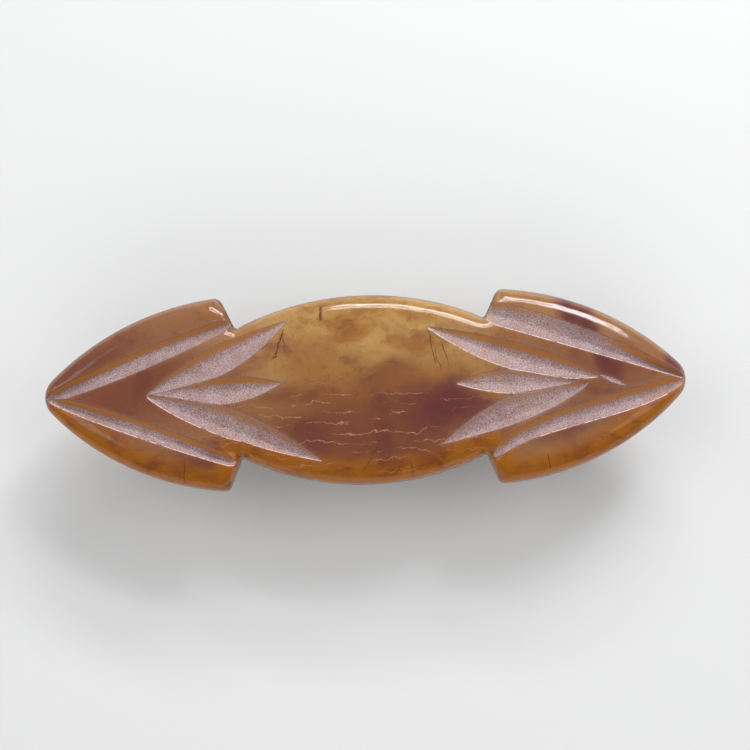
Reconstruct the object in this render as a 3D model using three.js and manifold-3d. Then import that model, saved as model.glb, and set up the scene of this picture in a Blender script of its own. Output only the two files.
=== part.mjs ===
// Carved barrette: a translucent bar with wheel-cut leaves on a spring clip.
// Millimetres, +Z up. X runs along the bar, hinge at -X and catch at +X.
// The origin is the centre of the footprint, on the surface that the closed clip rests on.
import * as THREE from "three";
import { mergeVertices } from "three/addons/utils/BufferGeometryUtils.js";
import Module from "manifold-3d";

const wasm = await Module();
wasm.setup();

// ---- Driving dimensions -------------------------------------------------------------------

// Carved bar, seen from above
const BAR_LENGTH = 89;
const BAR_WIDTH = 27.8; // across the arcs of opposite wings
const LENS_WIDTH = 26.8; // across the middle lens
const WING_RADIUS = 38.2; // long outer edge of each wing
const LENS_RADIUS = 37.5; // long edges of the middle lens
const TIP_RADIUS = 3.4;
const CORNER_CUT = 0.7; // blunted outer corner of a wing

// The step where each wing ends above the lens: distance of its corner and of its foot from
// the middle of the bar. The bar is hand cut, so the four differ.
const STEPS = {
  left: { 1: { corner: 20.4, foot: 18.1 }, "-1": { corner: 19.0, foot: 17.3 } },
  right: { 1: { corner: 19.0, foot: 16.9 }, "-1": { corner: 18.0, foot: 16.4 } },
};

// Carved bar, in section
const WALL_HEIGHT = 1.3; // upright edge above the flat back
const SHOULDER_RISE = 2.4; // rounded edge above the wall
const SHOULDER_WIDTH = 3.2; // at most a little less than the tip's radius
const CROWN_RISE = 1.3; // gentle dome on top
const SHOULDER_STEPS = [0, 0.04, 0.16, 0.34, 0.62, 1]; // shares of its width that are facets

// Section of a leaf, as shares of its depth and of its half width, from its floor outwards
const LEAF_SECTION = [
  [0, 0.22],
  [0.4, 0.62],
  [1, 1],
  [1.5, 1.25],
];

// Leaves cut by a wheel, three at each end that meet at a root
const LEAVES = [
  { root: [-30.0, -0.7], tip: [-10.4, 9.1], width: 3.7, depth: 1.0 },
  { root: [-30.0, -0.8], tip: [-11.3, 0.1], width: 3.6, depth: 0.95 },
  { root: [-30.0, -0.9], tip: [-5.7, -10.8], width: 3.8, depth: 1.0 },
  { root: [31.4, -0.2], tip: [8.4, 7.6], width: 3.4, depth: 0.95 },
  { root: [30.4, -0.6], tip: [12.2, -0.6], width: 3.0, depth: 0.85 },
  { root: [30.4, -0.9], tip: [9.7, -9.0], width: 3.2, depth: 0.9 },
];

// Long grooves from each tip to the four notches, with their half width at each end
const GROOVES = [
  { tip: [-43.6, -0.4], notch: [-18.4, 9.3], tipHalf: 0.6, notchHalf: 1.3 },
  { tip: [-43.6, -0.6], notch: [-17.2, -10.3], tipHalf: 0.6, notchHalf: 1.2 },
  { tip: [43.6, -0.1], notch: [17.0, 9.9], tipHalf: 0.6, notchHalf: 1.6 },
  { tip: [43.6, -0.5], notch: [16.4, -10.4], tipHalf: 0.6, notchHalf: 1.3 },
];
const GROOVE_DEPTH = { tip: 0.5, notch: 1.0 };
const TIP_DROP = 0.9; // how far the grooves start below the shoulder's top, at the tip
const GROOVE_OVERRUN = 2; // the cutter runs past the notch and the tip

// Clip
const CLIP_HEIGHT = 9.2; // from the table to the bar's back
const BASE_LENGTH = 68;
const BASE_WIDTH = 7.6;
const BASE_THICK = 0.7;
const BASE_CORNER = 1.5;

const HINGE_X = -31;
const PIN_DROP = 3.4; // hinge axis below the bar's back
const PIN_RADIUS = 0.7;
const PIN_CLEARANCE = 0.1;
const PIN_HEAD_RADIUS = 1.15;
const PIN_HEAD_THICK = 0.4;
const EAR_RADIUS = 1.9;
const EAR_THICK = 0.7;
const SIDE_CLEARANCE = 0.3; // between knuckles, and between knuckles and ears

const ARM_THICK = 0.8;
const ARM_WIDTH = 8.2;
const ARM_FLAT = 9; // half length of the level middle
const ARM_EYE_WALL = 0.55;
const ARM_NECK = 3.2; // length of the narrow neck beside the ears
const ARM_SLOT = { from: -20.5, to: 18.5, width: 2.6 };
const ARM_KNUCKLE_GAP = 2.8; // gap in the neck that the spring's knuckle fills
const ARM_LEVEL_FROM = 24.8; // where the catch end turns level
const ARM_END = 31.8;
const ARM_END_RISE = 3.0; // underside of the level end above the table
const WINDOW = { from: 25.7, to: 30.4, halfWidth: 2.95 };

const SPRING_THICK = 0.4;
const SPRING_WIDTH = 5;
const SPRING_LOW_X = -6;
const SPRING_LOW_Z = 5.5; // middle of the leaf at its lowest
const SPRING_TIP_X = 17.2;
const SPRING_TIP_Z = 7.0;
const SPRING_TONGUE = { length: 3.2, width: 2.6 };

const CATCH_THICK = 0.5;
const CATCH_HALF = 2.6; // half width over the two jaws
const CATCH_FROM = 17.6;
const CATCH_TO = 34;
const LIP_LENGTH = 2.2;
const LIP_GAP = 0.15; // below the spring, at the lip's edge
const LIP_WIDTH = 3.4;
const FLEX_GAP = 0.3; // between the catch plate and each jaw, where the steel bends
const JAW_LEG = { from: 26.4, to: 29.6 };
const JAW_WEB_CLEARANCE = 0.4; // above the arm's end bar
const BARB = { reach: 0.8, drop: 1.0, clearance: 0.3 };
const TAB = { from: 32.2, to: 35.4, out: 2.3, shoulder: 0.8, slope: 1.3, length: 2.7 };

// Fasteners
const FIXING_X = 27; // pins that hold the base to the bar
const FIXING_RADIUS = 0.75;
const FIXING_HEAD = { radius: 1.4, thick: 0.5 };
const FIXING_DEPTH = 2.3; // into the bar
const RIVET_X = 21.4;
const RIVET_RADIUS = 0.8;
const RIVET_HEAD = { radius: 1.35, thick: 0.45 };
const HOLE_CLEARANCE = 0.1;

// ---- Materials ----------------------------------------------------------------------------

const material = (color, roughness, metalness) =>
  new THREE.MeshStandardMaterial({ color, roughness, metalness });
const AMBER = material(0xa8672b, 0.18, 0);
const NICKEL = material(0xb9b6ad, 0.3, 1);
const SPRING_STEEL = material(0x8f9296, 0.35, 1);
const BRASS = material(0xb08d4a, 0.35, 1);

// ---- Geometry helpers ---------------------------------------------------------------------

// A closed geometry as a solid that can be joined and cut.
function solid(geometry) {
  const bare = geometry.index ? geometry.toNonIndexed() : geometry.clone();
  for (const name of Object.keys(bare.attributes)) {
    if (name !== "position") bare.deleteAttribute(name);
  }
  const merged = mergeVertices(bare, 1e-4);
  return new wasm.Manifold(
    new wasm.Mesh({
      numProp: 3,
      vertProperties: merged.attributes.position.array,
      triVerts: new Uint32Array(merged.index.array),
    }),
  );
}

// A solid back as a geometry.
function geometryOf(made) {
  const mesh = made.getMesh();
  const geometry = new THREE.BufferGeometry();
  geometry.setAttribute("position", new THREE.BufferAttribute(mesh.vertProperties, 3));
  geometry.setIndex(new THREE.BufferAttribute(mesh.triVerts, 1));
  const flat = geometry.toNonIndexed();
  flat.computeVertexNormals();
  return flat;
}

const join = (...parts) => parts.reduce((a, b) => a.add(b));
const cut = (body, ...tools) => tools.reduce((a, b) => a.subtract(b), body);

// An upright outline in the XZ plane, extruded along Y over its width, centred on y = 0.
function across(points, width) {
  const shape = new THREE.Shape(points.map(([x, z]) => new THREE.Vector2(x, z)));
  const made = new THREE.ExtrudeGeometry(shape, { depth: width, bevelEnabled: false });
  return made.rotateX(Math.PI / 2).translate(0, width / 2, 0);
}

// An outline in the YZ plane, extruded along X from x0 to x1.
function lengthwise(points, x0, x1) {
  const shape = new THREE.Shape(points.map(([y, z]) => new THREE.Vector2(y, z)));
  const made = new THREE.ExtrudeGeometry(shape, { depth: x1 - x0, bevelEnabled: false });
  const turn = new THREE.Matrix4().makeBasis(
    new THREE.Vector3(0, 1, 0),
    new THREE.Vector3(0, 0, 1),
    new THREE.Vector3(1, 0, 0),
  );
  return made.applyMatrix4(turn).translate(x0, 0, 0);
}

// A block from its lowest and highest corners.
function block([x0, y0, z0], [x1, y1, z1]) {
  const box = new THREE.BoxGeometry(x1 - x0, y1 - y0, z1 - z0);
  return box.translate((x0 + x1) / 2, (y0 + y1) / 2, (z0 + z1) / 2);
}

// A cylinder along Z, from z0 to z1.
function post(radius, z0, z1, x = 0, sides = 20) {
  const made = new THREE.CylinderGeometry(radius, radius, z1 - z0, sides);
  return made.rotateX(Math.PI / 2).translate(x, 0, (z0 + z1) / 2);
}

// A cylinder along Y, from y0 to y1, about (x, z).
function rod(radius, y0, y1, x = 0, z = 0, sides = 24) {
  const made = new THREE.CylinderGeometry(radius, radius, y1 - y0, sides);
  return made.translate(x, (y0 + y1) / 2, z);
}

// A flat strip with rounded corners, from x0 to x1 and z0 to z1.
function strip(x0, x1, width, z0, z1, corner) {
  const half = width / 2;
  const shape = new THREE.Shape();
  shape.moveTo(x0 + corner, -half);
  shape.lineTo(x1 - corner, -half);
  shape.absarc(x1 - corner, -half + corner, corner, -Math.PI / 2, 0);
  shape.lineTo(x1, half - corner);
  shape.absarc(x1 - corner, half - corner, corner, 0, Math.PI / 2);
  shape.lineTo(x0 + corner, half);
  shape.absarc(x0 + corner, half - corner, corner, Math.PI / 2, Math.PI);
  shape.lineTo(x0, -half + corner);
  shape.absarc(x0 + corner, -half + corner, corner, Math.PI, 1.5 * Math.PI);
  const options = { depth: z1 - z0, bevelEnabled: false, curveSegments: 5 };
  return new THREE.ExtrudeGeometry(shape, options).translate(0, 0, z0);
}

// Evenly spaced values, with both ends.
const stations = (from, to, count) =>
  Array.from({ length: count + 1 }, (_, i) => from + ((to - from) * i) / count);

// ---- Carved bar ---------------------------------------------------------------------------

const HALF_LENGTH = BAR_LENGTH / 2;
const SHOULDER = Math.min(SHOULDER_WIDTH, TIP_RADIUS - 0.2);
const WING_DROP = WING_RADIUS - BAR_WIDTH / 2; // arc centre beyond the bar's middle line
const LENS_DROP = LENS_RADIUS - LENS_WIDTH / 2;
const TIP_CENTRE = HALF_LENGTH - TIP_RADIUS;
// The wing arcs are placed so that they run into the rounded tips.
const WING_APEX_X = TIP_CENTRE - Math.sqrt((WING_RADIUS - TIP_RADIUS) ** 2 - WING_DROP ** 2);

const wingY = (x, inset) =>
  Math.sqrt((WING_RADIUS - inset) ** 2 - (x - WING_APEX_X) ** 2) - WING_DROP;
const lensY = (x, inset) => Math.sqrt((LENS_RADIUS - inset) ** 2 - x ** 2) - LENS_DROP;

// The x where an arc's height meets a step line, by bisection between x0 and x1.
function meet(arc, line, x0, x1) {
  let [low, high] = [x0, x1];
  const side = (x) => Math.sign(arc(x) - line(x));
  for (let i = 0; i < 40; i++) {
    const middle = (low + high) / 2;
    if (side(middle) === side(low)) low = middle;
    else high = middle;
  }
  return (low + high) / 2;
}

// A quarter of the outline at an inset, from the middle of the bar to a tip, for x and y above 0.
function quarterOutline(step, inset) {
  const corner = [step.corner, wingY(step.corner, 0)];
  const foot = [step.foot, lensY(step.foot, 0)];
  const run = [corner[0] - foot[0], corner[1] - foot[1]];
  const length = Math.hypot(...run);
  // the step's line, moved into the wing by the inset
  const shifted = [foot[0] + (inset * run[1]) / length, foot[1] - (inset * run[0]) / length];
  const line = (x) => shifted[1] + ((x - shifted[0]) * run[1]) / run[0];
  const footX = meet((x) => lensY(x, inset), line, shifted[0] - 8, shifted[0] + 8);
  const cornerX = meet((x) => wingY(x, inset), line, shifted[0] - 1, shifted[0] + 6);
  const lens = stations(0, footX, 7).map((x) => [x, lensY(x, inset)]);
  const bluntX = cornerX - (CORNER_CUT * run[0]) / length;
  // the wing's arc runs to where the tip's own arc begins
  const tipRadius = TIP_RADIUS - inset;
  const tangent = Math.atan2(WING_DROP, TIP_CENTRE - WING_APEX_X);
  const wingEnd = TIP_CENTRE + tipRadius * Math.cos(tangent);
  const wing = stations(cornerX + CORNER_CUT, wingEnd, 9).map((x) => [x, wingY(x, inset)]);
  const tip = [2 / 3, 1 / 3, 0].map((share) => [
    TIP_CENTRE + tipRadius * Math.cos(tangent * share),
    tipRadius * Math.sin(tangent * share),
  ]);
  return [...lens, [bluntX, line(bluntX)], ...wing, ...tip];
}

// One side of the outline at an inset, from the left tip to the right tip.
function sideOutline(side, inset) {
  const left = quarterOutline(STEPS.left[side], inset).map(([x, y]) => [-x, y * side]);
  const right = quarterOutline(STEPS.right[side], inset).map(([x, y]) => [x, y * side]);
  return [...left.reverse(), ...right.slice(1)];
}

// Height of the dome above the shoulder.
const crown = (x, y) =>
  CROWN_RISE * (1 - (x / HALF_LENGTH) ** 2) * (1 - (y / (BAR_WIDTH / 2)) ** 2);
const shoulder = (inset) =>
  SHOULDER_RISE * Math.sqrt(Math.max(0, 1 - (1 - inset / SHOULDER) ** 2));
const fieldHeight = (x, y) => WALL_HEIGHT + SHOULDER_RISE + crown(x, y);

// The bar before carving: rows of points across it, from the lower back edge over the top to
// the upper back edge, joined into one closed skin.
function barBlank() {
  const insets = SHOULDER_STEPS.map((share) => share * SHOULDER);
  const upper = insets.map((t) => sideOutline(1, t));
  const lower = insets.map((t) => sideOutline(-1, t));
  const columns = upper[0].length;
  const inner = 4; // cells across the middle of each column
  const onTop = ([x, y], t) => [x, y, WALL_HEIGHT + shoulder(t) + crown(x, y)];
  const rows = [];
  for (let i = 0; i < columns; i++) {
    const row = [[...lower[0][i], 0]];
    insets.forEach((t, k) => row.push(onTop(lower[k][i], t)));
    const from = lower[insets.length - 1][i];
    const to = upper[insets.length - 1][i];
    for (let k = 1; k < inner; k++) {
      const share = k / inner;
      const point = [0, 1].map((n) => from[n] + (to[n] - from[n]) * share);
      row.push(onTop(point, SHOULDER));
    }
    for (let k = insets.length - 1; k >= 0; k--) row.push(onTop(upper[k][i], insets[k]));
    row.push([...upper[0][i], 0]);
    rows.push(row);
  }
  const triangles = [];
  const key = (p) => p.map((v) => v.toFixed(5)).join();
  const add = (a, b, c) => {
    if (new Set([key(a), key(b), key(c)]).size === 3) triangles.push(...a, ...b, ...c);
  };
  for (let i = 0; i + 1 < columns; i++) {
    const [here, next] = [rows[i], rows[i + 1]];
    for (let k = 0; k < here.length; k++) {
      const up = (k + 1) % here.length; // the last cell of each row closes the flat back
      add(here[k], next[k], next[up]);
      add(here[k], next[up], here[up]);
    }
  }
  const geometry = new THREE.BufferGeometry();
  const positions = new Float32Array(triangles);
  return geometry.setAttribute("position", new THREE.BufferAttribute(positions, 3));
}

// A frame at the middle of a line from a to b: X along the line and Z as near up as can be.
function frameAlong(a, b) {
  const along = new THREE.Vector3().subVectors(b, a).normalize();
  const sideways = new THREE.Vector3(0, 0, 1).cross(along).normalize();
  const up = new THREE.Vector3().crossVectors(along, sideways);
  const middle = new THREE.Vector3().addVectors(a, b).multiplyScalar(0.5);
  return new THREE.Matrix4().makeBasis(along, sideways, up).setPosition(middle);
}

// A leaf: the cut that a wheel with a rounded V rim leaves when it is lowered into the top.
function leafCutter({ root, tip, width, depth }) {
  const a = new THREE.Vector3(...root, fieldHeight(...root));
  const b = new THREE.Vector3(...tip, fieldHeight(...tip));
  const length = a.distanceTo(b);
  const wheel = (length ** 2 / 4 + depth ** 2) / (2 * depth);
  const far = LEAF_SECTION.map(([down, out]) => [wheel - down * depth, (out * width) / 2]);
  const near = far.map(([r, y]) => [r, -y]).reverse();
  const edge = far[far.length - 1][1];
  const rim = [[0, -edge], ...near, ...far, [0, edge]];
  const profile = rim.map(([r, y]) => new THREE.Vector2(r, y));
  const made = new THREE.LatheGeometry(profile, 180); // spins about Y, across the leaf
  made.translate(0, 0, wheel - depth);
  return solid(made.applyMatrix4(frameAlong(a, b)));
}

// A long groove: a slim cone laid in the top, wider and deeper at the notch.
function grooveCutter({ tip, notch, tipHalf, notchHalf }) {
  const radius = (half, depth) => (half ** 2 + depth ** 2) / (2 * depth);
  const tipRadius = radius(tipHalf, GROOVE_DEPTH.tip);
  const notchRadius = radius(notchHalf, GROOVE_DEPTH.notch);
  const tipZ = fieldHeight(...tip) - TIP_DROP + tipRadius - GROOVE_DEPTH.tip;
  const notchZ = fieldHeight(...notch) + notchRadius - GROOVE_DEPTH.notch;
  const a = new THREE.Vector3(...tip, tipZ);
  const b = new THREE.Vector3(...notch, notchZ);
  const length = a.distanceTo(b);
  const growth = (notchRadius - tipRadius) / length;
  const made = new THREE.CylinderGeometry(
    notchRadius + growth * GROOVE_OVERRUN,
    tipRadius - growth * GROOVE_OVERRUN,
    length + 2 * GROOVE_OVERRUN,
    16,
  ).rotateZ(-Math.PI / 2);
  return solid(made.applyMatrix4(frameAlong(a, b)));
}

function carvedBar() {
  const holes = [-FIXING_X, FIXING_X].map((x) =>
    solid(post(FIXING_RADIUS + HOLE_CLEARANCE, -1, FIXING_DEPTH + HOLE_CLEARANCE, x)),
  );
  const cuts = [...LEAVES.map(leafCutter), ...GROOVES.map(grooveCutter)];
  return cut(solid(barBlank()), ...cuts, ...holes);
}

// ---- Clip ---------------------------------------------------------------------------------

const BASE_UNDER = CLIP_HEIGHT - BASE_THICK;
const PIN_Z = CLIP_HEIGHT - PIN_DROP;
const EAR_INNER = BASE_WIDTH / 2 - EAR_THICK;
const EYE_BORE = PIN_RADIUS + PIN_CLEARANCE;
const NECK_HALF = EAR_INNER - SIDE_CLEARANCE;
const CATCH_UNDER = BASE_UNDER - CATCH_THICK;
const ARM_END_TOP = ARM_END_RISE + ARM_THICK;

// Base: a flat strip with two ears bent down for the hinge, drilled for pins and rivet.
function basePlate() {
  const half = BASE_LENGTH / 2;
  let made = solid(strip(-half, half, BASE_WIDTH, BASE_UNDER, CLIP_HEIGHT, BASE_CORNER));
  for (const side of [-1, 1]) {
    const [y0, y1] = [EAR_INNER, BASE_WIDTH / 2].map((y) => y * side).sort((a, b) => a - b);
    const web = block(
      [HINGE_X - EAR_RADIUS, y0, PIN_Z],
      [HINGE_X + EAR_RADIUS, y1, CLIP_HEIGHT - BASE_THICK / 2],
    );
    made = join(made, solid(web), solid(rod(EAR_RADIUS, y0, y1, HINGE_X, PIN_Z)));
  }
  const bore = rod(EYE_BORE, -BASE_WIDTH, BASE_WIDTH, HINGE_X, PIN_Z);
  const drill = (radius, x) =>
    solid(post(radius + HOLE_CLEARANCE, BASE_UNDER - 1, CLIP_HEIGHT + 1, x));
  return cut(
    made,
    solid(bore),
    drill(FIXING_RADIUS, -FIXING_X),
    drill(FIXING_RADIUS, FIXING_X),
    drill(RIVET_RADIUS, RIVET_X),
  );
}

function hingePin() {
  const half = BASE_WIDTH / 2 + 0.05;
  return join(
    solid(rod(PIN_RADIUS, -half - PIN_HEAD_THICK / 2, half + PIN_HEAD_THICK / 2)),
    solid(rod(PIN_HEAD_RADIUS, -half - PIN_HEAD_THICK, -half)),
    solid(rod(PIN_HEAD_RADIUS, half, half + PIN_HEAD_THICK)),
  );
}

// Underside of the arm along X: level in the middle, rising to the hinge and to the catch.
function armUnder(x) {
  const hingeRise = PIN_Z - EYE_BORE - ARM_EYE_WALL;
  if (x < -ARM_FLAT) return hingeRise * ((x + ARM_FLAT) / (HINGE_X + ARM_FLAT)) ** 2;
  if (x < ARM_FLAT) return 0;
  const share = Math.min(1, (x - ARM_FLAT) / (ARM_LEVEL_FROM - ARM_FLAT));
  return ARM_END_RISE * share ** 2;
}

function claspArm() {
  const xs = [
    ...stations(HINGE_X, -ARM_FLAT, 9),
    ...stations(ARM_FLAT, ARM_LEVEL_FROM, 7),
    ARM_END,
  ];
  const under = xs.map((x) => [x, armUnder(x)]);
  const over = xs.map((x) => [x, armUnder(x) + ARM_THICK]).reverse();
  let made = solid(across([...under, ...over], ARM_WIDTH));
  // the neck is narrow beside the ears, and split for the spring's knuckle
  const neckEnd = HINGE_X + ARM_NECK;
  for (const side of [-1, 1]) {
    const [y0, y1] = [NECK_HALF, ARM_WIDTH].map((y) => y * side).sort((a, b) => a - b);
    made = cut(made, solid(block([HINGE_X - 3, y0, -1], [neckEnd, y1, CLIP_HEIGHT])));
  }
  const eye = rod(EYE_BORE + ARM_EYE_WALL, -NECK_HALF, NECK_HALF, HINGE_X, PIN_Z);
  const knuckleHalf = ARM_KNUCKLE_GAP / 2;
  const reach = EYE_BORE + ARM_EYE_WALL + 0.6;
  const gap = block(
    [HINGE_X - reach, -knuckleHalf, 0],
    [HINGE_X + reach, knuckleHalf, CLIP_HEIGHT],
  );
  const slotHalf = ARM_SLOT.width / 2;
  const slot = strip(
    ARM_SLOT.from,
    ARM_SLOT.to,
    ARM_SLOT.width,
    -1,
    CLIP_HEIGHT,
    slotHalf - 0.01,
  );
  const window = block(
    [WINDOW.from, -WINDOW.halfWidth, 0],
    [WINDOW.to, WINDOW.halfWidth, CLIP_HEIGHT],
  );
  const bore = rod(EYE_BORE, -ARM_WIDTH, ARM_WIDTH, HINGE_X, PIN_Z);
  return cut(join(made, solid(eye)), ...[gap, slot, window, bore].map(solid));
}

// Middle of the spring's leaf along X: a shallow bow from the pin to the tip.
function springMiddle(x) {
  const top = PIN_Z + EYE_BORE + SPRING_THICK / 2;
  if (x < SPRING_LOW_X) {
    return SPRING_LOW_Z + (top - SPRING_LOW_Z) * ((x - SPRING_LOW_X) / (HINGE_X - SPRING_LOW_X)) ** 2;
  }
  const share = (x - SPRING_LOW_X) / (SPRING_TIP_X - SPRING_LOW_X);
  return SPRING_LOW_Z + (SPRING_TIP_Z - SPRING_LOW_Z) * share ** 2;
}

// The leaf turns on the hinge pin between the arm's knuckles, and its tip rests on the lip.
function tensionSpring() {
  const xs = [
    ...stations(HINGE_X, SPRING_LOW_X, 10),
    ...stations(SPRING_LOW_X, SPRING_TIP_X, 8).slice(1),
  ];
  const under = xs.map((x) => [x, springMiddle(x) - SPRING_THICK / 2]);
  const over = xs.map((x) => [x, springMiddle(x) + SPRING_THICK / 2]).reverse();
  let made = solid(across([...under, ...over], SPRING_WIDTH));
  const knuckle = ARM_KNUCKLE_GAP / 2 - SIDE_CLEARANCE;
  const neckEnd = HINGE_X + ARM_NECK;
  const tongueFrom = SPRING_TIP_X - SPRING_TONGUE.length;
  for (const side of [-1, 1]) {
    const trim = (x0, x1, half) => {
      const [y0, y1] = [half, SPRING_WIDTH].map((y) => y * side).sort((a, b) => a - b);
      return solid(block([x0, y0, 0], [x1, y1, CLIP_HEIGHT]));
    };
    made = cut(
      made,
      trim(HINGE_X - 3, neckEnd, knuckle),
      trim(tongueFrom, SPRING_TIP_X + 1, SPRING_TONGUE.width / 2),
    );
  }
  const eye = rod(EYE_BORE + SPRING_THICK, -knuckle, knuckle, HINGE_X, PIN_Z);
  const bore = rod(EYE_BORE, -SPRING_WIDTH, SPRING_WIDTH, HINGE_X, PIN_Z);
  return cut(join(made, solid(eye)), solid(bore));
}

// Catch plate: riveted under the base, with a lip that holds up the spring's tip.
function catchPlate() {
  const lipFrom = CATCH_FROM - LIP_LENGTH;
  const lipTop = springMiddle(lipFrom) - SPRING_THICK / 2 - LIP_GAP;
  const lip = [
    [lipFrom, lipTop - CATCH_THICK],
    [CATCH_FROM + CATCH_THICK, lipTop - CATCH_THICK],
    [CATCH_FROM + CATCH_THICK, BASE_UNDER - CATCH_THICK / 2],
    [CATCH_FROM, BASE_UNDER - CATCH_THICK / 2],
    [CATCH_FROM, lipTop],
    [lipFrom, lipTop],
  ];
  const flat = strip(CATCH_FROM, CATCH_TO, 2 * CATCH_HALF, CATCH_UNDER, BASE_UNDER, 0.2);
  const drill = (radius, x) =>
    solid(post(radius + HOLE_CLEARANCE, CATCH_UNDER - 1, BASE_UNDER + 1, x));
  return cut(
    join(solid(flat), solid(across(lip, LIP_WIDTH))),
    drill(RIVET_RADIUS, RIVET_X),
    drill(FIXING_RADIUS, FIXING_X),
  );
}

// One jaw of the catch, about its bend line at the origin: a cheek with a barb that holds the
// arm's window from below, and a tab for the finger past the arm's end. Y points outwards.
function catchJaw(side) {
  const top = 0;
  const hang = CATCH_UNDER - FLEX_GAP; // height of the bend line
  const [inner, outer] = [-CATCH_THICK / 2, CATCH_THICK / 2];
  const barbTop = ARM_END_RISE - BARB.clearance - hang;
  const barbLow = barbTop - BARB.drop;
  const webLow = ARM_END_TOP + JAW_WEB_CLEARANCE - hang;
  const leg = [
    [inner, top],
    [inner, barbLow],
    [outer, barbLow],
    [outer + BARB.reach, barbTop - 0.25],
    [outer + BARB.reach, barbTop],
    [outer, barbTop],
    [outer, top],
  ];
  const web = [
    [inner, top],
    [inner, webLow],
    [outer, webLow],
    [outer, top],
  ];
  const knee = -TAB.shoulder - TAB.slope;
  const tab = [
    [inner, top],
    [inner, -TAB.shoulder],
    [inner + TAB.out, knee],
    [inner + TAB.out, knee - TAB.length],
    [outer + TAB.out, knee - TAB.length],
    [outer + TAB.out, knee + 0.25],
    [outer, -TAB.shoulder + 0.25],
    [outer, top],
  ];
  const outward = (points) =>
    side > 0 ? points : points.map(([y, z]) => [-y, z]).reverse();
  return join(
    solid(lengthwise(outward(leg), JAW_LEG.from, JAW_LEG.to)),
    solid(lengthwise(outward(web), JAW_LEG.from, TAB.from + 0.5)),
    solid(lengthwise(outward(tab), TAB.from, TAB.to)),
  );
}

// A headed pin or rivet, head down, with its shank pointing up from z = 0.
function headed(radius, head, length) {
  return join(
    solid(post(head.radius, -head.thick, 0)),
    solid(post(radius, -head.thick / 2, length, 0, 16)),
  );
}

// ---- Assembly -----------------------------------------------------------------------------

function mesh(name, made, look, x = 0, y = 0, z = 0) {
  const piece = new THREE.Mesh(geometryOf(made), look);
  piece.name = name;
  piece.position.set(x, y, z);
  return piece;
}

const barrette = new THREE.Group();

barrette.add(mesh("carved_bar", carvedBar(), AMBER, 0, 0, CLIP_HEIGHT));

const clip = new THREE.Group();
clip.add(mesh("base_plate", basePlate(), NICKEL));
clip.add(mesh("hinge_pin", hingePin(), NICKEL, HINGE_X, 0, PIN_Z));
clip.add(mesh("clasp_arm", claspArm(), NICKEL));
clip.add(mesh("tension_spring", tensionSpring(), SPRING_STEEL));
clip.add(mesh("catch_plate", catchPlate(), SPRING_STEEL));
const bendLine = CATCH_HALF - CATCH_THICK / 2;
for (const [name, side] of [["catch_jaw_front", -1], ["catch_jaw_rear", 1]]) {
  const jaw = mesh(name, catchJaw(side), SPRING_STEEL, 0, bendLine * side, CATCH_UNDER - FLEX_GAP);
  clip.add(jaw);
}
barrette.add(clip);

const fasteners = new THREE.Group();
const throughBase = BASE_THICK + FIXING_DEPTH;
const hingeEnd = headed(FIXING_RADIUS, FIXING_HEAD, throughBase);
const catchEnd = headed(FIXING_RADIUS, FIXING_HEAD, throughBase + CATCH_THICK);
const rivet = headed(RIVET_RADIUS, RIVET_HEAD, BASE_THICK + CATCH_THICK);
fasteners.add(mesh("fixing_pin_hinge_end", hingeEnd, BRASS, -FIXING_X, 0, BASE_UNDER));
fasteners.add(mesh("fixing_pin_catch_end", catchEnd, BRASS, FIXING_X, 0, CATCH_UNDER));
fasteners.add(mesh("catch_rivet", rivet, NICKEL, RIVET_X, 0, CATCH_UNDER));
barrette.add(fasteners);

export default barrette;
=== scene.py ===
"""Looks of the carved barrette: a polished, marbled amber bar with frosted wheel cuts, on a metal clip.

Lengths are worked out in millimetres, in the part's own frame, and written to meshes in metres.
"""

import math

import bmesh
import bpy
import numpy as np
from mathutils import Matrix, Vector, kdtree
from mathutils.geometry import delaunay_2d_cdt


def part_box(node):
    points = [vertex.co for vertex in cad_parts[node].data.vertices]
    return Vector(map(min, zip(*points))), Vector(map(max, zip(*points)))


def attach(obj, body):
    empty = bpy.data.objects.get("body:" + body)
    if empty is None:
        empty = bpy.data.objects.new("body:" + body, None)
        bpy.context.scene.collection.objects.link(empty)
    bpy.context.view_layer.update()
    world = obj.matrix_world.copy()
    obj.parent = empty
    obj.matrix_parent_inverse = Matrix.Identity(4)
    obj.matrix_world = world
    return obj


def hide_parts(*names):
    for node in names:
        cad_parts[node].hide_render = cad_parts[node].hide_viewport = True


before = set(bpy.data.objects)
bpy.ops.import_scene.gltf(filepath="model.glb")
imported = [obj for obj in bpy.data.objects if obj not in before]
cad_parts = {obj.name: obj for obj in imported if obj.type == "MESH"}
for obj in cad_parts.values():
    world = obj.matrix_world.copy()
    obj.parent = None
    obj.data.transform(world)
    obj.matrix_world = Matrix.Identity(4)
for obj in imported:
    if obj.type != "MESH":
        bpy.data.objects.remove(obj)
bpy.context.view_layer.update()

MM = 0.001


# ---- Sizes ----------------------------------------------------------------------------------

def box_mm(node):
    """Lowest and highest corner of a CAD node, in millimetres."""
    low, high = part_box(node)
    return np.array(low) / MM, np.array(high) / MM


BAR_LOW, BAR_HIGH = box_mm("carved_bar")
BAR_BACK = BAR_LOW[2]
HALF_LENGTH = (BAR_HIGH[0] - BAR_LOW[0]) / 2

# The outline, as in the CAD bar: two long wing arcs and a lens arc on each side
HALF_WIDTH = 13.9
LENS_HALF_WIDTH = 13.4
WING_RADIUS = 38.2
LENS_RADIUS = 37.5
TIP_RADIUS = 3.4
STEPS = {  # (corner, foot) of the step at the end of each wing, from the middle of the bar
    (-1, 1): (20.4, 18.1),
    (1, 1): (19.0, 16.9),
    (-1, -1): (19.0, 17.3),
    (1, -1): (18.0, 16.4),
}
CORNER_ROUND = 0.9
FOOT_ROUND = 0.35

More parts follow.
